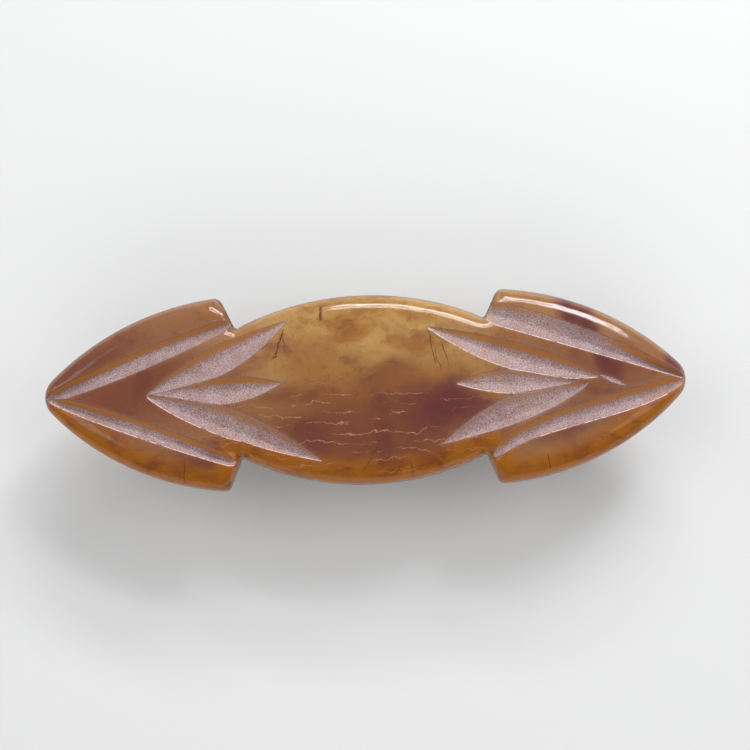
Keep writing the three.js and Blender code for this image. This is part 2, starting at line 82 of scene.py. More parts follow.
WALL = 1.3
SHOULDER_RISE = 2.4
SHOULDER_WIDTH = 3.2
CROWN = 1.3
STEP_ROUND = 1.2  # width of the rounded edge along a step
STEP_DROP = 0.42  # share of the shoulder's rise that is lost at a step's edge
BACK_ROUND = 0.25

# Leaves: where the wheel went in and out, the half widths to the left and to the right of that
# line with the place of each one's widest point, and the depth
LEAVES = [
    ((-30.0, -0.85), (-10.5, 9.2), (1.62, 0.50), (2.65, 0.50), 1.15),
    ((-29.4, -0.80), (-11.3, 0.2), (1.60, 0.52), (2.30, 0.55), 1.0),
    ((-30.0, -0.95), (-5.7, -10.75), (2.40, 0.44), (1.55, 0.44), 1.15),
    ((31.7, -0.20), (8.4, 7.7), (2.45, 0.48), (1.50, 0.40), 1.1),
    ((29.0, -0.80), (12.2, -0.6), (1.50, 0.50), (1.95, 0.52), 0.9),
    ((30.4, -1.00), (9.7, -8.95), (1.35, 0.42), (2.50, 0.46), 1.1),
    ((31.7, 0.25), (35.8, -1.6), (0.35, 0.50), (0.30, 0.50), 0.14),
]

# Grooves from tip to notch: half widths to the left and right, and depths, each at the tip, in
# the middle and at the notch, and a sideways bow near the notch
GROOVES = [
    ((-43.7, -0.3), (-18.7, 9.2), (0.4, 1.0, 0.7), (1.3, 1.9, 1.0), (1.3, 0.85, 1.05), 0.0),
    ((-43.7, -0.6), (-17.6, -10.4), (0.6, 1.15, 0.6), (0.7, 1.15, 0.8), (1.2, 0.75, 0.95), 0.0),
    ((43.7, 0.0), (17.3, 9.8), (0.6, 1.25, 1.8), (0.3, 1.8, 1.8), (1.2, 0.85, 1.25), 0.0),
    ((43.7, -0.8), (16.4, -10.8), (1.1, 1.3, 0.85), (1.2, 1.4, 0.85), (1.2, 0.8, 1.0), -1.27),
]
BOW_PEAK = 0.75
HIGHLIT_EDGES = {  # cut and side, with the part of its length whose edge gets a pale painted highlight
    (2, -1): (0.0, 1.0),
    (3, 1): (0.0, 1.0),
    (4, 1): (0.5, 1.0),
    (8, -1): (0.0, 1.2),
    (9, 1): (0.0, 1.2),
    (10, 1): (0.1, 0.75),
}
GROOVE_OVERRUN = 0.14  # share of its length that a groove runs past both ends
FLOOR_ROUND = 0.8  # roundness of a cut's floor, 0 for a sharp V
ARRIS_HALF = 0.1  # half width of the softened edge of a cut
ARRIS_DROP = 0.02


# ---- The bar's surface ----------------------------------------------------------------------

WING_DROP = WING_RADIUS - HALF_WIDTH
LENS_DROP = LENS_RADIUS - LENS_HALF_WIDTH
TIP_CENTRE = HALF_LENGTH - TIP_RADIUS
WING_APEX = TIP_CENTRE - math.sqrt((WING_RADIUS - TIP_RADIUS) ** 2 - WING_DROP**2)


def wing_y(x):
    return math.sqrt(WING_RADIUS**2 - (x - WING_APEX) ** 2) - WING_DROP


def lens_y(x):
    return math.sqrt(LENS_RADIUS**2 - x**2) - LENS_DROP


def spaced(start, end, step):
    """Evenly spaced numbers from start to end, both included, about a step apart."""
    return np.linspace(start, end, max(2, math.ceil(abs(end - start) / step) + 1))


def bend(before, corner, after, count=6):
    """Points of a soft corner between two points on either side of it."""
    a, b, c = (np.array(p, float) for p in (before, corner, after))
    return [tuple((1 - t) ** 2 * a + 2 * t * (1 - t) * b + t * t * c)
            for t in np.linspace(0, 1, count)]


def quarter(corner_x, foot_x, step=0.3):
    """A quarter of the outline, for x and y above 0: the outer arcs and the step as two lists."""
    corner, foot = np.array((corner_x, wing_y(corner_x))), np.array((foot_x, lens_y(foot_x)))
    run = corner - foot
    length = np.linalg.norm(run)
    foot_soft = foot + run * FOOT_ROUND / length
    corner_soft = corner - run * CORNER_ROUND / length
    lens = [(x, lens_y(x)) for x in spaced(0, foot_x - FOOT_ROUND, step)]
    round_foot = bend(lens[-1], foot, foot_soft, 4)[1:-1]
    line = [tuple(foot_soft + (corner_soft - foot_soft) * t)
            for t in np.linspace(0, 1, max(3, math.ceil(length / step)))]
    wing_start = corner_x + CORNER_ROUND
    round_corner = bend(corner_soft, corner, (wing_start, wing_y(wing_start)), 8)[1:]
    tangent = math.atan2(WING_DROP, TIP_CENTRE - WING_APEX)
    wing_end = TIP_CENTRE + TIP_RADIUS * math.cos(tangent)
    wing = [(x, wing_y(x)) for x in spaced(wing_start, wing_end, step)][1:]
    tip = [(TIP_CENTRE + TIP_RADIUS * math.cos(a), TIP_RADIUS * math.sin(a))
           for a in spaced(tangent, 0, 0.09)[1:]]
    return lens, round_foot + line, round_corner + wing + tip


def outline():
    """The closed outline, anticlockwise from the right tip, and the open runs of its outer arcs and
    of its steps."""
    points, outer, steps = [], [], []
    for x_sign, y_sign in [(1, 1), (-1, 1), (-1, -1), (1, -1)]:
        flip = np.array((x_sign, y_sign), float)
        lens, step, wing = (np.array(run) * flip for run in quarter(*STEPS[(x_sign, y_sign)]))
        outer += [lens, wing]
        steps.append(np.vstack([lens[-1], step, wing[:3]]))
        run = np.vstack([lens, step, wing])
        if x_sign * y_sign > 0:
            run = run[::-1]
        points.append(run[1:])
    return np.vstack(points), outer, steps


def distance(points, runs):
    """Distance of each point to the nearest of some polylines."""
    a = np.vstack([run[:-1] for run in runs])
    b = np.vstack([run[1:] for run in runs])
    span = b - a
    square = (span**2).sum(1)
    result = np.empty(len(points))
    for start in range(0, len(points), 4000):
        p = points[start:start + 4000, None, :]
        t = np.clip(((p - a) * span).sum(2) / square, 0, 1)
        gap = p - (a + t[..., None] * span)
        result[start:start + 4000] = np.sqrt((gap**2).sum(2).min(1))
    return result


def ease(t):
    """A quarter of an ellipse: upright at 0 and level from 1."""
    return np.sqrt(np.clip(1 - (1 - np.clip(t, 0, 1)) ** 2, 0, 1))


def crown(points):
    x, y = points[:, 0] / HALF_LENGTH, points[:, 1] / HALF_WIDTH
    return CROWN * (1 - x**2) * (1 - y**2)


def field(points):
    """Height over the back where no edge is near."""
    return WALL + SHOULDER_RISE + crown(points)


def dome(points, outer, steps):
    """Height of the uncarved top over the back."""
    rise = ease(distance(points, outer) / SHOULDER_WIDTH)
    step_loss = STEP_DROP * (1 - ease(distance(points, steps) / STEP_ROUND))
    return WALL + SHOULDER_RISE * rise * (1 - step_loss) + crown(points)


def section(q):
    """Depth of a cut across itself, as a share: 1 on the floor, 0 at its edges and less outside."""
    top = math.sqrt(1 + FLOOR_ROUND**2)
    return (top - np.sqrt(q**2 + FLOOR_ROUND**2)) / (top - FLOOR_ROUND)


def hump(u, peak, power=1.05):
    """0 at both ends of a cut and 1 at its peak."""
    t = np.clip(u, 0, 1) ** (math.log(0.5) / math.log(peak))
    return (4 * t * (1 - t)) ** power


def through(u, values):
    """A parabola through three values at 0, 0.5 and 1."""
    a, b, c = values
    return a * (1 - u) * (1 - 2 * u) + 4 * b * u * (1 - u) + c * u * (2 * u - 1)


class Cut:
    """One wheel cut: where it runs, how wide it is on either side and how deep."""

    def __init__(self, start, end, reach):
        self.start, self.end = np.array(start, float), np.array(end, float)
        run = self.end - self.start
        self.length = np.linalg.norm(run)
        self.along = run / self.length
        self.left = np.array((-self.along[1], self.along[0]))
        self.reach = reach

    def local(self, points):
        """Place along the cut, from 0 to 1, and distance to the left of its middle."""
        rel = points - self.start
        u = rel @ self.along / self.length
        return u, rel @ self.left - self.bow(u)

    def place(self, u, s):
        """The point at that place."""
        return (self.start + np.outer(u * self.length, self.along)
                + np.outer(s + self.bow(u), self.left))

    def height(self, points):
        """Height of the cut's surface over the back: above the top outside the cut."""
        u, s = self.local(points)
        low, high = self.reach
        widths = np.where(s > 0, self.width(u, 1), self.width(u, -1))
        q = np.abs(s) / np.maximum(widths, 1e-4)
        made = field(points) - self.depth(u) * section(q)
        return np.where((u > low) & (u < high), made, np.inf)


class Leaf(Cut):
    def __init__(self, start, end, left, right, depth):
        super().__init__(start, end, (0, 1))
        self.sides, self.deepest = {1: left, -1: right}, depth

    def bow(self, u):
        return 0 * u

    def width(self, u, side):
        half, peak = self.sides[side]
        return half * hump(u, peak)

    def depth(self, u):
        return self.deepest * hump(u, (self.sides[1][1] + self.sides[-1][1]) / 2, 0.9)


class Groove(Cut):
    def __init__(self, start, end, left, right, depths, bow):
        super().__init__(start, end, (-GROOVE_OVERRUN, 1 + GROOVE_OVERRUN))
        self.sides, self.depths, self.bowed = {1: left, -1: right}, depths, bow

    def bow(self, u):
        return self.bowed * hump(u, BOW_PEAK, 1)

    def width(self, u, side):
        return through(np.clip(u, 0, 1), self.sides[side])

    def depth(self, u):
        return through(np.clip(u, 0, 1), self.depths)


def heights(points, cuts, outer, steps):
    """Heights of the uncarved top and of every cut, one row each."""
    return np.vstack([dome(points, outer, steps), *(cut.height(points) for cut in cuts)])


def cut_edges(index, cuts, outer, steps, edge, spacing=0.28, samples=121):
    """What shows of one cut. Returns its edge lines, and points on its surface and beside it."""
    cut = cuts[index]
    low, high = cut.reach
    us = np.linspace(low, high, max(12, math.ceil((high - low) * cut.length / spacing)))
    us = low + (high - low) * (0.5 - 0.5 * np.cos(np.pi * (us - low) / (high - low)) * 0.97)
    wide = 1.02 * np.maximum(cut.width(us, 1), 0.01)
    narrow = 1.02 * np.maximum(cut.width(us, -1), 0.01)
    shares = np.linspace(-1, 1, samples)
    s = np.where(shares[None, :] > 0, shares * wide[:, None], shares * narrow[:, None])
    grid = cut.place(np.repeat(us, samples), s.ravel())
    owner = heights(grid, cuts, outer, steps).argmin(0).reshape(s.shape)
    within = inside(grid, edge).reshape(s.shape)
    owner[~within] = -1
    lines = {1: [[]], -1: [[]]}
    surface = []
    for row, u in enumerate(us):
        shown = np.flatnonzero(owner[row] == index + 1)
        if len(shown) < 3:
            for side in lines:
                lines[side].append([])
            continue
        ends = {-1: shown[0], 1: shown[-1]}
        spots = {}
        for side, k in ends.items():
            beyond = k + side
            neighbour = owner[row][beyond] if 0 <= beyond < samples else 0
            at = (s[row][k] + s[row][beyond]) / 2 if 0 <= beyond < samples else s[row][k]
            spots[side] = at
            if neighbour < 0 or 0 < neighbour < index + 1:
                lines[side].append([])
            else:
                lines[side][-1].append((u, at, neighbour == 0))
        inner = max(3, math.ceil((spots[1] - spots[-1]) / 0.24))
        margin = min(ARRIS_HALF, (spots[1] - spots[-1]) / 5)
        across = np.linspace(spots[-1] + margin, spots[1] - margin, inner)
        surface.append(cut.place(np.full(inner, u), across))
    edges, beside, highlit_runs = [], [], []
    for side, runs in lines.items():
        # the stretch of this edge that gets the painted highlight
        highlight_from, highlight_to = HIGHLIT_EDGES.get((index, side), (2, 2))
        for run in runs:
            if len(run) < 2:
                continue
            u, at, on_top = (np.array(v) for v in zip(*run))
            edges.append(cut.place(u, at))
            highlit_runs.append(edges[-1][(u >= highlight_from) & (u <= highlight_to)])
            outside = cut.place(u, at + side * ARRIS_HALF)
            beside.append(outside[on_top.astype(bool)])
    return edges, surface, beside, highlit_runs


def inside(points, loop):
    """Which points lie in a closed loop."""
    result = np.zeros(len(points), bool)
    a, b = loop, np.roll(loop, -1, axis=0)
    for (ax, ay), (bx, by) in zip(a, b):
        crosses = (ay > points[:, 1]) != (by > points[:, 1])
        if ay != by:
            at = ax + (points[:, 1] - ay) * (bx - ax) / (by - ay)
            result ^= crosses & (points[:, 0] < at)
    return result


class Spread:
    """Points that are taken only where none is too near yet."""

    def __init__(self, apart):
        self.apart, self.cells, self.points = apart, {}, []

    def nearest(self, p, apart):
        cx, cy = int(p[0] // self.apart), int(p[1] // self.apart)
        for i in range(cx - 1, cx + 2):
            for j in range(cy - 1, cy + 2):
                for k in self.cells.get((i, j), ()):
                    q = self.points[k]
                    if (q[0] - p[0]) ** 2 + (q[1] - p[1]) ** 2 < apart**2:
                        return k
        return None

    def take(self, p, apart=None):
        """The index of the point, or of the one already there, or None if it is left out."""
        gap = self.apart if apart is None else apart
        found = self.nearest(p, gap)
        if found is not None:
            return found
        self.points.append((float(p[0]), float(p[1])))
        cell = (int(p[0] // self.apart), int(p[1] // self.apart))
        self.cells.setdefault(cell, []).append(len(self.points) - 1)
        return len(self.points) - 1


def nearest_gap(points, marks):
    """Distance of each point to the nearest of some marks."""
    tree = kdtree.KDTree(len(marks))
    for k, p in enumerate(marks):
        tree.insert((p[0], p[1], 0), k)
    tree.balance()
    return np.array([tree.find((x, y, 0))[2] for x, y in points])


def carved_top():
    """Plan points, heights, triangles and facts of the carved top."""
    edge, outer, steps = outline()
    cuts = [Leaf(*row) for row in LEAVES] + [Groove(*row) for row in GROOVES]
    spread = Spread(0.12)
    constraints = []
    ring = [spread.take(p, 0.01) for p in edge]
    constraints += list(zip(ring, ring[1:] + ring[:1]))
    beside_all, surface_all, edge_points, highlight_points = [], [], [], []
    for index in range(len(cuts)):
        edges, surface, beside, highlit_runs = cut_edges(index, cuts, outer, steps, edge)
        for line in edges:
            ids = [spread.take(p, 0.04) for p in line]
            constraints += [(a, b) for a, b in zip(ids, ids[1:]) if a != b]
            edge_points += list(line)
        beside_all += beside
        surface_all += surface
        highlight_points += [p for line in highlit_runs for p in line]
    for group in beside_all + surface_all:
        for p in group:
            spread.take(p, 0.07)
    # rings of points that follow the edge, closer together where the shoulder is steep
    tangent = np.roll(edge, -1, axis=0) - np.roll(edge, 1, axis=0)
    inward = np.column_stack([-tangent[:, 1], tangent[:, 0]])
    inward /= np.linalg.norm(inward, axis=1)[:, None]
    closed = np.vstack([edge, edge[:1]])
    for angle in np.radians(np.arange(8, 91, 8)):
        offset = SHOULDER_WIDTH * (1 - math.cos(angle))
        moved = edge + inward * offset
        keep = distance(moved, [closed]) > 0.93 * offset
        for p in moved[keep]:
            spread.take(p, min(0.12, 0.5 * offset))
    # an even spread over the middle
    pitch = 0.5
    xs = np.arange(-HALF_LENGTH, HALF_LENGTH, pitch)
    ys = np.arange(-HALF_WIDTH, HALF_WIDTH, pitch * math.sqrt(3) / 2)
    lattice = np.array([(x + pitch / 2 * (j % 2), y) for j, y in enumerate(ys) for x in xs])
    lattice = lattice[inside(lattice, edge)]
    lattice = lattice[distance(lattice, [closed]) > SHOULDER_WIDTH + 0.1]
    spread.apart = 0.12
    for p in lattice:
        if spread.nearest(p, 0.12) is None:
            spread.take(p, 0.12)
    verts, _, faces, *_ = delaunay_2d_cdt(
        [Vector(p) for p in spread.points], constraints, [], 1, 1e-6)
    plan = np.array([(v.x, v.y) for v in verts])
    levels = heights(plan, cuts, outer, steps)
    z = levels.min(0)
    # closeness to the cut edges, and to the stretches that get the painted highlight
    arris, edge_highlight = (np.exp(-((nearest_gap(plan, line) / ARRIS_HALF) ** 2))
                   for line in (edge_points, highlight_points))
    to_edge = distance(plan, [closed])
    z -= ARRIS_DROP * arris * (to_edge > 0.05)
    facts = {
        "frost": np.clip((levels[0] - z) / 0.06, 0, 1) * (to_edge > 0.02),
        "arris": arris,
        "edge_highlight": edge_highlight,
        "rim": to_edge,
    }
    return plan, z, [tuple(f) for f in faces], facts


def carved_bar():
    """The whole bar as one closed mesh, with what its material needs on its points."""
    plan, z, faces, facts = carved_top()
    top_z = z.copy()
    count = len(plan)
    verts = [(x, y, h) for (x, y), h in zip(plan, z)]
    # the edge loop in the triangulation, in order
    order = {}
    for f in faces:
        for a, b in zip(f, f[1:] + f[:1]):
            order[(a, b)] = True
    following = {a: b for a, b in order if (b, a) not in order}
    first = next(iter(following))
    loop = [first]
    while following[loop[-1]] != first:
        loop.append(following[loop[-1]])
    rim = plan[loop]
    tangent = np.roll(rim, -1, axis=0) - np.roll(rim, 1, axis=0)
    inward = np.column_stack([-tangent[:, 1], tangent[:, 0]])
    inward /= np.linalg.norm(inward, axis=1)[:, None]
    rows = [loop]
    round_rows = [(BACK_ROUND * (1 - math.cos(a)), BACK_ROUND * (1 - math.sin(a)))
                  for a in np.radians((0, 30, 60, 90))]
    for share in (0.66, 0.33):
        row_z = BACK_ROUND + (top_z[loop] - BACK_ROUND) * share
        rows.append(range(len(verts), len(verts) + len(loop)))
        verts += [(x, y, h) for (x, y), h in zip(rim, row_z)]
    for inset, height in round_rows:
        rows.append(range(len(verts), len(verts) + len(loop)))
        verts += [(x, y, height) for x, y in rim + inward * inset]
    sides = []
    for upper, lower in zip(rows, rows[1:]):
        n = len(loop)
        sides += [(upper[i], lower[i], lower[(i + 1) % n], upper[(i + 1) % n]) for i in range(n)]
    # the flat back, on the last row
    last = list(rows[-1])
    back_plan = [Vector(verts[k][:2]) for k in last]
    n = len(last)
    grid = [(x, y) for x in np.arange(-42, 43, 3.0) for y in np.arange(-12, 13, 3.0)]
    grid = np.array(grid)
    grid = grid[inside(grid, rim)]
    grid = grid[distance(grid, [np.vstack([rim, rim[:1]])]) > 1.0]
    flat, _, flat_faces, origin, *_ = delaunay_2d_cdt(
        back_plan + [Vector(p) for p in grid], [(i, (i + 1) % n) for i in range(n)], [], 1, 1e-6)
    name_of = {}
    for k, sources in enumerate(origin):
        found = [j for j in sources if j < n]
        if found:
            name_of[k] = last[found[0]]
        else:
            name_of[k] = len(verts)
            verts.append((flat[k].x, flat[k].y, 0.0))
    back = [tuple(name_of[k] for k in reversed(f)) for f in flat_faces]
    mesh = bpy.data.meshes.new("carved_bar_skin")
    placed = [(x * MM, y * MM, (BAR_BACK + h) * MM) for x, y, h in verts]
    mesh.from_pydata(placed, [], faces + sides + back)
    mesh.validate()
    mesh.update()
    normals = np.empty(len(verts) * 3, np.float32)
    mesh.vertex_normals.foreach_get("vector", normals)
    # which cut walls face the front: the mask of the painted shade on them
    facts["front_wall"] = np.clip((-0.43 - normals.reshape(-1, 3)[:count, 1]) / 0.16, 0, 1)
    for label, values in facts.items():
        layer = mesh.attributes.new(label, "FLOAT", "POINT")
        padding = [(v[2] == 0) * 5.0 if label == "rim" else 0.0 for v in verts[count:]]
        padded = np.concatenate([values, padding])
        layer.data.foreach_set("value", padded.astype(np.float32))
    mesh.shade_smooth()
    bar = bpy.data.objects.new("amber_bar", mesh)
    bpy.context.scene.collection.objects.link(bar)
    return bar


# ---- Sizes of the clip ----------------------------------------------------------------------

BASE_LOW, BASE_HIGH = box_mm("base_plate")
BASE_UNDER = BAR_BACK - 0.7
BASE_HALF = BASE_HIGH[1]
BASE_CORNER = 1.5

PIN_LOW, PIN_HIGH = box_mm("hinge_pin")
HINGE_X, PIN_Z = (PIN_LOW[0] + PIN_HIGH[0]) / 2, (PIN_LOW[2] + PIN_HIGH[2]) / 2
PIN_RADIUS = 0.7
EAR_RADIUS = 1.9
EYE_BORE = PIN_RADIUS + 0.1

ARM_HIGH = box_mm("clasp_arm")[1]
ARM_THICK = 0.8
ARM_FLAT = 9.0  # half length of the level middle
ARM_EYE_WALL = 0.55
ARM_LEVEL_FROM = 24.8
ARM_END_RISE = 3.0
NECK_FROM = HINGE_X + 3.2
NECK_HALF = 2.8
KNUCKLE_GAP = 1.4
SLOT = (-20.5, 18.5, 1.3)
WINDOW = (25.7, 30.4, 2.95)

LEAF_THICK = 0.4
LEAF_HALF = 2.5
LEAF_LOW = (-6.0, 5.5)
LEAF_TIP = (17.2, 7.0)
TONGUE = (3.2, 1.3)  # length and half width
LEAF_KNUCKLE = 1.1

CATCH_LOW, CATCH_HIGH = box_mm("catch_plate")
CATCH_THICK = 0.5
CATCH_FROM = 17.6
LIP_HALF = 1.7
JAW_LOW, JAW_HIGH = box_mm("catch_jaw_rear")
LEG_TO = 29.6
WEB_TO, WEB_LOW = 32.0, 4.2
TAB_FROM = 32.2

RIVET_X, FIXING_X = 21.4, 27.0
RIVET_RADIUS, FIXING_RADIUS = 0.8, 0.75


# ---- Sheet metal ----------------------------------------------------------------------------

def rounded(points, radius):
    """A closed loop of points with soft corners. A radius may be given for each corner."""
    radii = radius if isinstance(radius, (list, tuple)) else [radius] * len(points)
    loop = []
    for k, corner in enumerate(points):
        before, after = (np.array(points[j % len(points)], float) for j in (k - 1, k + 1))
        corner = np.array(corner, float)
        ends = []
        for far in (before, after):
            run = far - corner
            length = np.linalg.norm(run)
            ends.append(corner + run * min(radii[k] / length, 0.49))
        loop += bend(ends[0], corner, ends[1], 6)
    return np.array(loop)


def circle(centre, radius, count=28):
    return np.array([(centre[0] + radius * math.cos(a), centre[1] + radius * math.sin(a))
                     for a in np.linspace(0, 2 * math.pi, count, endpoint=False)])


def evened(loop, pitch):
    """A closed loop without long edges, and without points that lie on each other."""
    points = []
    for a, b in zip(loop, np.roll(loop, -1, axis=0)):
        length = np.linalg.norm(b - a)
        if length > 1e-5:
            count = max(1, math.ceil(length / pitch))
            points += [a + (b - a) * k / count for k in range(count)]
    return np.array(points)


def leftward(loop):
    """Unit normals to the left of a closed loop."""
    along = np.roll(loop, -1, axis=0) - np.roll(loop, 1, axis=0)
    normal = np.column_stack([-along[:, 1], along[:, 0]])
    return normal / np.linalg.norm(normal, axis=1)[:, None]


def signed_area(loop):
    nxt = np.roll(loop, -1, axis=0)
    return ((loop[:, 0] * nxt[:, 1] - nxt[:, 0] * loop[:, 1]).sum()) / 2


def pressed(name, outer, holes, thick, place, pitch=0.5, soft=0.11):
    """A sheet cut to an outline with holes, with soft edges, and bent by `place`. That turns a
    distance along the sheet, one across it and one through it into a point."""
    loops = []
    for k, loop in enumerate([outer, *holes]):
        loop = evened(np.array(loop, float), pitch)
        if (signed_area(loop) > 0) != (k == 0):
            loop = loop[::-1]
        loops.append(loop)
    slope = 0.3 * soft
    profile = [(soft, thick), (slope, thick - slope), (0, thick - soft), (0, soft),
               (slope, slope), (soft, 0)]
    verts, faces = [], []
    edge_of = {thick: [], 0: []}
    for loop in loops:
        normal, n = leftward(loop), len(loop)
        rows = []
        for inset, w in profile:
            rows.append([len(verts) + i for i in range(n)])
            verts += [(*p, w) for p in loop + normal * inset]
        for upper, lower in zip(rows, rows[1:]):
            faces += [(upper[i], lower[i], lower[(i + 1) % n], upper[(i + 1) % n])
                      for i in range(n)]
        edge_of[thick].append(rows[0])
        edge_of[0].append(rows[-1])
    low, high = loops[0].min(0), loops[0].max(0)
    grid = np.array([(u, v) for u in spaced(low[0], high[0], pitch)
                     for v in spaced(low[1], high[1], 1.6 * pitch)])
    grid = grid[inside(grid, loops[0])]
    for hole in loops[1:]:
        grid = grid[~inside(grid, hole)]
    grid = grid[distance(grid, [np.vstack([p, p[:1]]) for p in loops]) > soft + 0.35 * pitch]
    for w, rings in edge_of.items():
        ids = [k for ring in rings for k in ring]
        plan = [Vector(verts[k][:2]) for k in ids] + [Vector(p) for p in grid]
        links, start = [], 0
        for ring in rings:
            n = len(ring)
            links += [(start + i, start + (i + 1) % n) for i in range(n)]
            start += n
        flat, _, triangles, origin, *_ = delaunay_2d_cdt(plan, links, [], 1, 1e-6)
        name_of = []
        for point, sources in zip(flat, origin):
            known = [j for j in sources if j < len(ids)]
            if known:
                name_of.append(ids[known[0]])
            else:
                name_of.append(len(verts))
                verts.append((point.x, point.y, w))
        centres = np.array([np.mean([flat[k][:] for k in t], axis=0) for t in triangles])
        solid = np.ones(len(triangles), bool)
        for hole in loops[1:]:
            solid &= ~inside(centres, hole)
        for t, kept in zip(triangles, solid):
            if kept:
                order = t if w else reversed(t)
                faces.append(tuple(name_of[k] for k in order))
    return finished(name, [place(*v) for v in verts], faces)


def finished(name, points, faces):
    """A closed, smooth-shaded object from points in millimetres."""
    mesh = bpy.data.meshes.new(name)
    mesh.from_pydata([tuple(c * MM for c in p) for p in points], [], faces)
    made = bmesh.new()
    made.from_mesh(mesh)
    loose = [v for v in made.verts if not v.link_faces]
    bmesh.ops.delete(made, geom=loose, context="VERTS")
    bmesh.ops.recalc_face_normals(made, faces=made.faces)
    made.to_mesh(mesh)
    made.free()
    mesh.shade_smooth()
    piece = bpy.data.objects.new(name, mesh)
    bpy.context.scene.collection.objects.link(piece)
    return piece


class Bent:
    """A line of points that a sheet follows, in a plane of its own. Across it, `w` is to the right
    of its direction."""

    def __init__(self, points, corner=0.0):
        points = [np.array(p, float) for p in points]
        if corner:
            soft = [points[0]]
            for a, b, c in zip(points, points[1:], points[2:]):
                before = b + (a - b) * min(0.49, corner / np.linalg.norm(a - b))
                after = b + (c - b) * min(0.49, corner / np.linalg.norm(c - b))
                soft += [np.array(p) for p in bend(before, b, after, 9)]
            points = soft + [points[-1]]
        self.points = np.array(points)
        runs = np.linalg.norm(np.diff(self.points, axis=0), axis=1)
        self.reach = np.concatenate([[0], np.cumsum(runs)])
        self.length = self.reach[-1]
        along = np.gradient(self.points, self.reach, axis=0)
        self.right = np.column_stack([along[:, 1], -along[:, 0]])

    def at(self, u, w):
        p = [np.interp(u, self.reach, self.points[:, k]) for k in (0, 1)]
        n = [np.interp(u, self.reach, self.right[:, k]) for k in (0, 1)]
        size = math.hypot(*n)
        return p[0] + n[0] / size * w, p[1] + n[1] / size * w

    def where(self, x):
        """Distance along the line to its first point at this x, on a line that runs to -X."""
        first = int(np.argmin(self.points[:, 0]))
        xs, us = self.points[:first + 1, 0], self.reach[:first + 1]
        return float(np.interp(-x, -xs, us))


def folded(v, w, turn_at, inner, thick, top):
    """Across a sheet whose sides turn down: the place across and the height of its point."""
    mid = inner + thick / 2
    beyond = abs(v) - turn_at
    if beyond <= 0:
        return v, top - thick + w
    angle = min(beyond / mid, math.pi / 2)
    drop = max(0.0, beyond - mid * math.pi / 2)
    y = turn_at + (inner + w) * math.sin(angle)
    return math.copysign(y, v), top - thick - inner + (inner + w) * math.cos(angle) - drop


def eye(radius, start, end, step=6):
    """Points round the hinge pin from one angle to another, in degrees."""
    return [(HINGE_X + radius * math.cos(math.radians(a)), PIN_Z + radius * math.sin(math.radians(a)))
            for a in spaced(start, end, step)]


# ---- Pieces of the clip ---------------------------------------------------------------------

def base_plate():
    """The base strip, with two ears turned down at the hinge and slits beside them."""
    thick, turn_at, inner = BAR_BACK - BASE_UNDER, 2.9, 0.2
    fold = (inner + thick / 2) * math.pi / 2
    straight_from = BAR_BACK - thick - inner
    ear_axis = turn_at + fold + straight_from - PIN_Z
    ear_from, ear_to = HINGE_X - EAR_RADIUS, HINGE_X + EAR_RADIUS
    slit = 0.3

    def side(sign):
        """From the hinge end to the catch end along one side."""
        round_end = [(HINGE_X - EAR_RADIUS * math.cos(a), ear_axis + EAR_RADIUS * math.sin(a))
                     for a in spaced(0, math.pi, 0.18)]
        line = [(BASE_LOW[0], 0.0), (BASE_LOW[0], BASE_HALF - 0.55),
                (BASE_LOW[0] + 0.5, BASE_HALF), (ear_from - slit, BASE_HALF),
                (ear_from - slit, turn_at - 0.2), (ear_from, turn_at - 0.2)]
        line += round_end
        line += [(ear_to, turn_at - 0.2), (ear_to + slit, turn_at - 0.2),
                 (ear_to + slit, BASE_HALF), (BASE_HIGH[0] - BASE_CORNER, BASE_HALF)]
        line += [(BASE_HIGH[0] - BASE_CORNER + BASE_CORNER * math.sin(a),
                  BASE_HALF - BASE_CORNER + BASE_CORNER * math.cos(a))
                 for a in spaced(0.2, math.pi / 2, 0.2)]
        return [(x, y * sign) for x, y in line]

    outline_points = side(-1)[1:] + side(1)[:0:-1]
    holes = [circle((HINGE_X, ear_axis * s), EYE_BORE - 0.05) for s in (-1, 1)]
    holes += [circle((x, 0), r + 0.1) for x, r in
              ((-FIXING_X, FIXING_RADIUS), (FIXING_X, FIXING_RADIUS), (RIVET_X, RIVET_RADIUS))]

    def place(u, v, w):
        if abs(u - HINGE_X) < EAR_RADIUS + slit / 2:
            y, z = folded(v, w, turn_at, inner, thick, BAR_BACK)
            return u, y, z
        return u, v, BAR_BACK - thick + w

    return pressed("base_strip", rounded(outline_points, 0.14), holes, thick, place, 0.45)


def arm_under(x):
    if x < -ARM_FLAT:
        rise = PIN_Z - EYE_BORE - ARM_EYE_WALL
        return rise * ((x + ARM_FLAT) / (HINGE_X + ARM_FLAT)) ** 2
    share = min(1.0, max(0.0, x - ARM_FLAT) / (ARM_LEVEL_FROM - ARM_FLAT))
    return ARM_END_RISE * share**2


